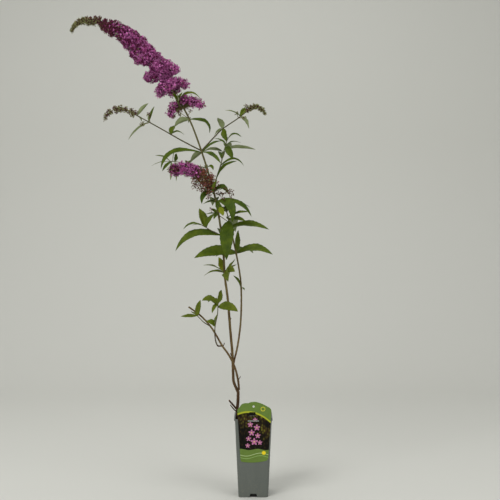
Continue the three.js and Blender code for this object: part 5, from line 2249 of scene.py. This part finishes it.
def modify(piece: bpy.types.Object, kind: str, **settings: object) -> None:
    """Adds a modifier with its settings and applies it.

    Args:
        piece: The piece.
        kind: The modifier's type.
        settings: Its settings by name.
    """
    only(piece)
    modifier = piece.modifiers.new(kind.lower(), kind)
    for key, setting in settings.items():
        setattr(modifier, key, setting)
    bpy.ops.object.modifier_apply(modifier=modifier.name)


def carve(piece: bpy.types.Object, cutter: bpy.types.Object) -> None:
    """Cuts one piece out of another, and takes the cutter away."""
    modify(piece, "BOOLEAN", object=cutter, operation="DIFFERENCE", solver="EXACT")
    bpy.data.objects.remove(cutter, do_unlink=True)


def soften(piece: bpy.types.Object, radius: float, degrees: float) -> None:
    """Rounds a piece's edges.

    Args:
        piece: The piece.
        radius: In millimetres.
        degrees: The least angle between an edge's two faces.
    """
    angle = math.radians(degrees)
    modify(piece, "BEVEL", width=radius * MM, segments=3, limit_method="ANGLE", angle_limit=angle)


def round_corners(piece: bpy.types.Object, axis: int, radius: float, segments: int) -> None:
    """Rounds the corners of a block that run along an axis.

    Args:
        piece: The block.
        axis: 0, 1 or 2 for x, y or z.
        radius: In millimetres.
        segments: Faces round a corner.
    """
    with editing(piece, "EDGE"):
        pick_edges(piece, lambda a, b: abs(a[axis] - b[axis]) > 1)
        bpy.ops.mesh.bevel(offset=radius * MM, segments=segments, affect="EDGES")


def coat(piece: bpy.types.Object, *finishes: Finish) -> None:
    """Gives a piece its finishes, in the order of its slots."""
    for finish in finishes:
        piece.data.materials.append(finish.material())


def smooth(piece: bpy.types.Object, degrees: float = 32.0) -> None:
    """Shades a piece smooth where its faces meet at less than an angle."""
    only(piece)
    bpy.ops.object.shade_smooth_by_angle(angle=math.radians(degrees))


def box(name: str, size: Point, centre: Point) -> bpy.types.Object:
    """A block of a size round a centre, to be shaped further.

    Args:
        name: Its name.
        size: In millimetres.
        centre: In millimetres.

    Returns:
        The block.
    """
    deselect()
    bpy.ops.mesh.primitive_cube_add(size=MM, location=Vector(centre) * MM, scale=size)
    return named(name)


# ---------------------------------------------------------------- pot, fill and label
THROUGH = 20  # millimetres, enough for a cutter to pass right through the label


@dataclass
class Pot:
    """A deep square pot with a lip, drained by a notch in the foot of each side.

    Attributes:
        rim: Width over the lip.
        mouth: Width of the wall just under the lip.
        foot: Width at the ground.
        height: To the rim.
        lip: Depth of the lip.
        draft: How much narrower the lip is at its lower edge.
        wall: Thickness of the wall.
        floor: Thickness of the floor.
        corner: Corner radius as a share of the width.
        notch: Width at the ground, at the crown, height and depth of a notch.
        soften: Radius of its edges.
    """

    rim: float = 89.0
    mouth: float = 85.0
    foot: float = 69.0
    height: float = 181.0
    lip: float = 4.6
    draft: float = 0.6
    wall: float = 1.4
    floor: float = 2.6
    corner: float = 0.11
    notch: tuple[float, float, float, float] = (19.0, 14.0, 8.0, 4.0)
    soften: float = 0.45

    def wall_width(self, height: float) -> float:
        """The width over the wall at a height."""
        return lerp(self.foot, self.mouth, height / (self.height - self.lip))

    def build(self) -> bpy.types.Object:
        """Models the pot.

        Returns:
            The finished pot.
        """
        under = self.height - self.lip
        inner = self.wall_width(self.height) - 2 * self.wall
        foot = self.wall_width(self.floor) - 2 * self.wall
        pot = box("nursery_pot", (self.foot, self.foot, under), (0, 0, under / 2))
        round_corners(pot, 2, self.foot * self.corner, 7)
        with editing(pot):
            pick_faces(pot, lambda middle, normal: normal.z > 0.9 and middle.z > under - 1)
            widen(self.mouth / self.foot, self.mouth / self.foot)
            before = self.mouth
            lip = (0, self.rim - self.draft), (self.lip, self.rim)
            for rise, width in (*lip, (0, inner), (self.floor - self.height, foot)):
                push_out((0, 0, rise))
                widen(width / before, width / before)
                before = width
        for side in range(4):
            carve(pot, self._notch_cutter(side))
        soften(pot, self.soften, 50)
        smooth(pot)
        coat(pot, POT, POT_INSIDE_SHADE)
        # Faces inside the pot and in its drainage notches take the near-black painted shade.
        for polygon in pot.data.polygons:
            polygon.material_index = int(self._is_painted_shade(polygon.center / MM, polygon.normal))
        return settled(pot, "pot", "pot")

    def _is_painted_shade(self, middle: Vector, normal: Vector) -> bool:
        """Whether a face takes the painted shade: on the inside, under the rim, or within a drainage notch.

        Args:
            middle: The face's middle in millimetres.
            normal: The way that it looks.

        Returns:
            Whether it is.
        """
        width, _, high, _ = self.notch
        near, far = sorted((abs(middle.x), abs(middle.y)))
        inside = normal.x * middle.x + normal.y * middle.y < 0 and middle.z < self.height - 1.5
        beside = far < self.foot / 2 - 0.4 and near < width / 2 + 1
        return inside or (beside and 0.1 < middle.z < high + 0.5)

    def _notch_cutter(self, side: int) -> bpy.types.Object:
        """The wedge that cuts the drainage notch of one side.

        Args:
            side: 0 for the front, and on round the pot.

        Returns:
            The wedge.
        """
        width, crown, height, depth = self.notch
        cutter = box("notch_cutter", (width, 2 * depth, height + 1), (0, -self.foot / 2, (height - 1) / 2))
        with editing(cutter):
            pick_faces(cutter, lambda middle, normal: normal.z > 0.9)
            widen(crown / width, 1.0)
            bpy.ops.mesh.select_all(action="SELECT")
            bpy.ops.transform.rotate(value=side * math.pi / 2, orient_axis="Z", center_override=(0, 0, 0))
        return cutter


@dataclass
class Substrate:
    """The fill of the pot, with a crumbled top.

    Attributes:
        pot: The pot that it fills.
        level: Its height.
        gap: Between it and the pot.
        crumbs: How many loose crumbs lie on it.
        crumb: Least and most radius of one.
        uneven: How much longer or shorter it is each way, least and most.
        relief: How deep its top's hollows are.
        seed: Picks where the crumbs lie.
    """

    pot: Pot
    level: float = 172.0
    gap: float = 0.3
    crumbs: int = 900
    crumb: tuple[float, float] = (0.35, 1.5)
    uneven: tuple[float, float] = (0.6, 1.3)
    relief: float = 2.2
    seed: int = 3

    def build(self) -> Iterator[bpy.types.Object]:
        """Models the fill and the crumbs.

        Returns:
            The finished pieces in turn.
        """
        bottom = self.pot.floor + self.gap
        inset = 2 * (self.pot.wall + self.gap)
        low, high = self.pot.wall_width(bottom) - inset, self.pot.wall_width(self.level) - inset
        fill = box("substrate", (low, low, self.level - bottom), (0, 0, (self.level + bottom) / 2))
        round_corners(fill, 2, low * self.pot.corner, 6)
        with editing(fill):
            pick_faces(fill, lambda middle, normal: normal.z > 0.9)
            widen(high / low, high / low)
            bpy.ops.mesh.inset(thickness=1.5 * MM)
            bpy.ops.mesh.poke()
            for _ in range(2):
                bpy.ops.mesh.subdivide(number_cuts=6)
        chance = np.random.default_rng(self.seed)
        edge = high / 2 - 2
        self._crumble(fill, edge)
        smooth(fill, 60)
        coat(fill, SUBSTRATE)
        yield settled(fill, "soil", "soil")
        spots = chance.uniform(-edge, edge, (self.crumbs, 2))
        heights = np.array([self.top(x, y, edge) for x, y in spots])
        loose = Batch("loose_crumbs")
        centres = np.column_stack([spots, heights + 0.1])
        sizes = chance.uniform(*self.crumb, (self.crumbs, 1)) * chance.uniform(*self.uneven, (self.crumbs, 3))
        axes = unit(chance.normal(size=(self.crumbs, 3)))
        loose.add_copies(ball(2, 5), centres, axes, chance.uniform(0, FULL_TURN, self.crumbs), sizes)
        yield settled(loose.build((CRUMB,), smooth=False), "soil", "soil")

    def top(self, x: float, y: float, edge: float) -> float:
        """The height of its crumbled top.

        Args:
            x: Place in millimetres.
            y: Place in millimetres.
            edge: Where it goes flat, by the wall.

        Returns:
            The height in millimetres.
        """
        hills = math.sin(x * 0.31 + 1.2) * math.cos(y * 0.27 - 0.4) + 0.6 * math.sin(x * 0.83 - y * 0.61)
        hills += 0.5 * math.sin(x * 1.9 + y * 1.3) * math.cos(x * 1.1 - y * 2.3)
        near_wall = min(1.0, max(0.0, (edge + 2 - max(abs(x), abs(y))) / 5))
        return self.level - self.relief * near_wall * (0.5 + 0.26 * hills)

    def _crumble(self, fill: bpy.types.Object, edge: float) -> None:
        """Gives the fill's top its relief.

        Args:
            fill: The fill.
            edge: Where it goes flat, by the wall.
        """
        for vertex in fill.data.vertices:
            x, y, z = vertex.co / MM
            if z > self.level - 0.5:
                vertex.co.z = self.top(x, y, edge) * MM
        fill.data.update()


@dataclass
class Label:
    """A leaning plastic label with a wavy top, held to the lip by a staple.

    Attributes:
        pot: The pot that it leans on.
        middle: The x of its middle, a little off the pot's.
        width: Its width at the shoulder.
        foot: Its width above the corners of its foot.
        bottom: The height of its foot.
        shoulder: The height where its sides end and the corners of the wavy top begin.
        crest: The height of its highest wave.
        thickness: Of the sheet.
        gap: In front of the lip.
        lean: Forward, in each millimetre of height.
        hole: Radius, x and height of the round hole.
        slot: Width, height, x and place of the hanging slot.
        slot_corner: Radius of its corners.
        play: Between the staple and the slits, and between its bar and the label.
        strap: Width, height, thickness, leg and place of the staple.
    """

    pot: Pot
    middle: float = 2.3
    width: float = 78.0
    foot: float = 64.0
    bottom: float = 82.0
    shoulder: float = 200.0
    crest: float = 223.0
    thickness: float = 0.8
    gap: float = 0.5
    lean: float = 0.066
    hole: tuple[float, float, float] = (2.5, 0.5, 212.0)
    slot: tuple[float, float, float, float] = (15.0, 8.5, -2.4, 194.5)
    slot_corner: float = 2.2
    play: tuple[float, float] = (0.4, 0.3)
    strap: tuple[float, float, float, float, float] = (25.0, 2.4, 1.2, 1.8, 178.6)

    def back(self, height: float) -> float:
        """The y of its back at a height."""
        return -self.pot.rim / 2 - self.gap - self.lean * (height - self.pot.height)

    def _curve(self, points: Sequence[tuple[float, float]]) -> np.ndarray:
        """Samples quadratic curves through a row of ends and controls in turn.

        Args:
            points: The ends and controls.

        Returns:
            The samples, one row each.
        """
        rows = []
        for i in range(0, len(points) - 2, 2):
            a, b, c = (np.array(point) for point in points[i : i + 3])
            t = (np.arange(16) / 16)[:, None]
            rows.append((1 - t) ** 2 * a + 2 * t * (1 - t) * b + t**2 * c)
        return np.vstack([*rows, [points[-1]]])

    def edges(self) -> tuple[np.ndarray, np.ndarray]:
        """The label's lower and upper edge, from left to right, as rows of x and height.

        Returns:
            The lower and the upper edge.
        """
        half, foot, low, high = self.width / 2, self.foot / 2, self.bottom, self.crest
        lower = [
            (-foot, low + 7), (-foot + 0.5, low + 1.5), (-foot + 5, low + 0.8), (0, low - 3),
            (foot - 7, low + 3), (foot - 1, low + 4.5), (foot, low + 10),
        ]
        upper = [
            (-half, self.shoulder), (-half, high - 15), (-half * 0.87, high - 13), (-half * 0.83, high - 9),
            (-half * 0.72, high - 5.5), (-half * 0.57, high - 2), (-half * 0.35, high - 3.5),
            (-half * 0.25, high), (2, high), (half * 0.4, high - 2), (half * 0.9, self.shoulder + 9),
            (half, self.shoulder + 6), (half, self.shoulder),
        ]
        offset = np.array((self.middle, 0.0))
        return self._curve(lower) + offset, self._curve(upper) + offset

    def build(self) -> Iterator[bpy.types.Object]:
        """Models the label and its strap.

        Returns:
            The finished pieces in turn.
        """
        deselect()
        bpy.ops.mesh.primitive_grid_add(x_subdivisions=60, y_subdivisions=60, size=1.0)
        sheet = named("plant_label")
        lower, upper = self.edges()
        for vertex in sheet.data.vertices:
            across, up = vertex.co.x + 0.5, vertex.co.y + 0.5
            ends = [
                np.array([np.interp(across, np.linspace(0, 1, len(edge)), edge[:, i]) for i in range(2)])
                for edge in (lower, upper)
            ]
            x, z = ends[0] + (ends[1] - ends[0]) * up
            vertex.co = Vector((x, self.back(z) - self.thickness / 2, z)) * MM
        sheet.data.update()
        coat(sheet, LABEL_FACE, LABEL_BACK)
        modify(sheet, "SOLIDIFY", thickness=self.thickness * MM, offset=0.0)
        at = self.back(self.shoulder)
        radius, x, height = self.hole
        deselect()
        bpy.ops.mesh.primitive_cylinder_add(
            vertices=32,
            radius=radius * MM,
            depth=THROUGH * MM,
            location=(x * MM, at * MM, height * MM),
            rotation=(math.pi / 2, 0, 0),
        )
        carve(sheet, named("hole_cutter"))
        wide, high, x, level = self.slot
        slot = box("slot_cutter", (wide, THROUGH, high), (x, at, level))
        round_corners(slot, 1, self.slot_corner, 5)
        carve(sheet, slot)
        bar, tall, _, leg, level = self.strap
        for side in (-1, 1):
            x = side * (bar - leg) / 2
            slit = (leg + 2 * self.play[0], THROUGH, tall + 2 * self.play[0])
            carve(sheet, box("slit_cutter", slit, (x, at, level)))
        self._dress(sheet)
        yield settled(sheet, "label", "label")
        yield self._staple()

    def _dress(self, sheet: bpy.types.Object) -> None:
        """Prints the front and leaves the back and the cut edges plain.

        Args:
            sheet: The label.
        """
        for polygon in sheet.data.polygons:
            polygon.material_index = 0 if polygon.normal.y < -0.7 else 1
        smooth(sheet, 40)

    def _staple(self) -> bpy.types.Object:
        """The strap: a flat bar in front of the label, with two legs back to the lip.

        Returns:
            The finished strap.
        """
        bar, tall, thick, leg, level = self.strap
        front = self.back(level) - self.thickness - self.play[1]
        middle = front - thick / 2
        strap = box("label_staple", (bar, thick, tall), (0, middle, level))
        with editing(strap):
            for side in (-1, 1):
                bpy.ops.mesh.select_all(action="SELECT")
                bpy.ops.mesh.bisect(plane_co=(side * (bar / 2 - leg) * MM, 0, 0), plane_no=(1, 0, 0))
            pick_faces(strap, lambda centre, normal: normal.y > 0.9 and abs(centre.x) > bar / 2 - leg)
            reach = -self.pot.rim / 2 - self.play[1] - (middle + thick / 2)
            push_out((0, reach, 0))
        soften(strap, 0.35, 40)
        smooth(strap)
        coat(strap, STRAP)
        return settled(strap, "strap", "label_strap")


# ---------------------------------------------------------------- wood
@dataclass
class Wood:
    """A limb of round wood with its bark in relief: a cylinder bent along its curve.

    Attributes:
        name: The limb's name in the table.
        sides: Faces round it.
        step: Millimetres between its rings.
        relief: Depth of the bark's strips, as a share of the radius.
        nodes: Heights at which leaves or shoots have stood.
        swelling: How much thicker it is at a node, as a share.
        lengthen: Millimetres by which its foot runs into what carries it.
        bark: Thickness of the bark over the wood.
        most_cuts: How many cuts one subdivision may make.
        strip: How many times longer than wide a strip of bark is, and its width in metres.
        rounding: Radius of the edge of its cut end.
        flare_length: How far up its flare goes.
        node_length: How far a node's swelling reaches along it.
    """

    name: str
    sides: int = 16
    step: float = 2.4
    relief: float = 0.16
    nodes: tuple[float, ...] = ()
    swelling: float = 0.22
    lengthen: float = 0.0
    bark: float = 0.25
    most_cuts: int = 95
    strip: tuple[float, float] = (9.0, 0.0007)
    rounding: float = 0.22
    flare_length: float = 7.0
    node_length: float = 2.6

    def build(self) -> bpy.types.Object:
        """Models the limb.

        Returns:
            The finished limb.
        """
        limb, way = LIMBS[self.name], WAYS[self.name]
        length = way.length + self.lengthen
        deselect()
        bpy.ops.mesh.primitive_cylinder_add(
            vertices=self.sides, radius=MM, depth=length * MM, location=(0, 0, length / 2 * MM)
        )
        wood = named(f"{self.name}_bark")
        with editing(wood, "EDGE"):
            pick_edges(wood, lambda a, b: abs(a.z - b.z) > 1e-3 and math.hypot(a.x - b.x, a.y - b.y) < 1e-3)
            cuts = max(8, round(length / self.step))
            bpy.ops.mesh.subdivide(number_cuts=min(self.most_cuts, cuts))
            if cuts > self.most_cuts:
                bpy.ops.mesh.subdivide(number_cuts=max(1, round(cuts / self.most_cuts)))
            pick_edges(wood, lambda a, b: min(a.z, b.z) > length - 1e-3)
            bpy.ops.mesh.bevel(offset=self.rounding * MM, segments=2, affect="EDGES")
        self._roughen(wood)
        self._bend(wood, way, limb)
        bark = SHOOT_BARK if limb.young else OLD_BARK
        coat(wood, bark, CUT_WOOD)
        tip = Vector(way.at(1.0)) * MM
        heading = Vector(way.heading(1.0))
        for polygon in wood.data.polygons:
            at_tip = (polygon.center - tip).length < limb.radii[1] * 0.9 * MM
            polygon.material_index = int(at_tip and polygon.normal.dot(heading) > 0.8)
        smooth(wood, 50)
        return settled(wood, "shoot" if limb.young else "bark", self.name)

    def _roughen(self, wood: bpy.types.Object) -> None:
        """Raises long strips of bark on the straight cylinder.

        Args:
            wood: The cylinder.
        """
        stretch = bpy.data.objects.new("stretch", None)
        stretch.scale = (1.0, 1.0, self.strip[0])
        bpy.context.scene.collection.objects.link(stretch)
        bpy.context.view_layer.update()
        texture = bpy.data.textures.new("strips", "CLOUDS")
        texture.noise_scale = self.strip[1]
        texture.noise_depth = 2
        modify(
            wood, "DISPLACE", texture=texture, texture_coords="OBJECT", texture_coords_object=stretch,
            strength=self.relief * 2 * MM, mid_level=0.5, direction="NORMAL",
        )
        bpy.data.objects.remove(stretch)

    def _bend(self, wood: bpy.types.Object, way: Way, limb: Limb) -> None:
        """Bends the cylinder along its curve, with its taper, its flare and its nodes.

        Args:
            wood: The cylinder.
            way: Its curve.
            limb: Its sizes.
        """
        length = way.length
        steps = max(8, round(length))
        shares = np.linspace(0, 1, steps + 1)
        points = way.at(shares)
        radii = lerp(*limb.radii, shares) + self.bark
        low = np.clip(1 - shares * length / self.flare_length, 0, 1)
        radii = radii * (1 + limb.flare * low**1.5)
        for height in self.nodes:
            away = np.abs(shares - way.share_at_height(height)) * length
            radii = radii * (1 + self.swelling * np.exp(-((away / self.node_length) ** 2)))
        if self.lengthen:
            foot = points[0] - way.heading(0.0) * self.lengthen
            points, radii = np.vstack([foot, points]), np.concatenate([radii[:1], radii])
        curve = bpy.data.curves.new("way", "CURVE")
        curve.dimensions = "3D"
        curve.twist_mode = "MINIMUM"
        curve.use_stretch = curve.use_deform_bounds = curve.use_radius = True
        spline = curve.splines.new("POLY")
        spline.points.add(len(points) - 1)
        for target, point, radius in zip(spline.points, points, radii):
            target.co = (*(point * MM), 1.0)
            target.radius = radius
        guide = bpy.data.objects.new("way", curve)
        bpy.context.scene.collection.objects.link(guide)
        bpy.context.view_layer.update()
        modify(wood, "CURVE", object=guide, deform_axis="POS_Z")
        bpy.data.objects.remove(guide)


# ---------------------------------------------------------------- studio
@dataclass
class Studio:
    """A pale floor that sweeps up behind, soft lights, and the camera.

    Attributes:
        eye: Where the camera stands, in metres.
        lens: Its focal length on a sensor 36 mm wide.
        floor: The colour of the floor.
        sky: The colour and strength of the surroundings.
    """

    eye: Point = (-0.0077, -1.80, 0.570)
    lens: float = 55.15
    floor: Colour = rgb(206, 206, 200)
    sky: tuple[Colour, float] = (rgb(230, 231, 228), 0.48)

    def build(self) -> None:
        """Sets up floor, lights and camera."""
        self._floor()
        self._light("key_light", (-1.7, -2.1, 2.3), (-0.1, 0, 0.5), 1.6, 56)
        self._light("fill_light", (2.1, -1.7, 1.7), (-0.1, 0, 0.5), 1.8, 30)
        self._light("top_light", (-0.3, 0.7, 2.9), (-0.1, 0, 0.6), 2.0, 20)
        world = bpy.data.worlds.new("surroundings")
        world.use_nodes = True
        ground = world.node_tree.nodes["Background"]
        ground.inputs["Color"].default_value, ground.inputs["Strength"].default_value = self.sky
        bpy.context.scene.world = world
        bpy.context.scene.view_settings.view_transform = "Standard"
        lens = bpy.data.cameras.new("camera")
        lens.sensor_width, lens.lens = 36.0, self.lens
        camera = bpy.data.objects.new("camera", lens)
        camera.location = self.eye
        camera.rotation_euler = (math.pi / 2, 0, 0)
        bpy.context.scene.collection.objects.link(camera)
        bpy.context.scene.camera = camera

    def _floor(self) -> None:
        """Models the floor and its sweep."""
        deselect()
        bpy.ops.mesh.primitive_plane_add(size=12.0, location=(0, 0, -0.0005))
        floor = named("studio_floor")
        with editing(floor, "EDGE"):
            pick_edges(floor, lambda a, b: min(a.y, b.y) > 5999)
            bpy.ops.transform.translate(value=(0, -3.6, 0))
            push_out((0, 0, 5000))
            pick_edges(floor, lambda a, b: min(a.y, b.y) > 2390 and max(a.z, b.z) < 1)
            bpy.ops.mesh.bevel(offset=1.2, segments=16, affect="EDGES")
        smooth(floor, 60)
        coat(floor, Finish("studio_floor", self.floor, self.floor, 0.9, 3.0))
        floor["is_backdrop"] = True

    @staticmethod
    def _light(name: str, place_at: Point, aim: Point, size: float, power: float) -> None:
        """Adds one soft square light.

        Args:
            name: Its name.
            place_at: Where it hangs, in metres.
            aim: What it points at.
            size: Its side.
            power: In watts.
        """
        lamp = bpy.data.lights.new(name, "AREA")
        lamp.size, lamp.energy = size, power
        light = bpy.data.objects.new(name, lamp)
        light.location = place_at
        light.rotation_euler = (Vector(aim) - Vector(place_at)).to_track_quat("-Z", "Y").to_euler()
        bpy.context.scene.collection.objects.link(light)


def report(piece: bpy.types.Object) -> None:
    """Logs a finished piece and how many faces it has."""
    log.info("%s: %d faces", piece.name, len(piece.data.polygons))


def main() -> None:
    """Builds pot, wood, leaves and flowers, and the studio round them."""
    logging.basicConfig(level=logging.INFO, format="%(name)s: %(message)s")
    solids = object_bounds()
    pot = Pot()
    report(pot.build())
    for piece in Substrate(pot).build():
        report(piece)
    for piece in Label(pot).build():
        report(piece)
    for name in LIMBS:
        heights = tuple(s.collar.height for s in SPRAYS.values() if s.collar and s.collar.limb == name)
        report(Wood(name, nodes=heights, lengthen=2.0 if name == "main_stem" else 0.0).build())
    for grower in (Foliage(), Flowers()):
        for piece in grower.build():
            report(piece)
    Studio().build()
    sizes = [[list(map(float, corner)) for corner in corners] for corners in (solids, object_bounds())]


if __name__ == "__main__":
    main()
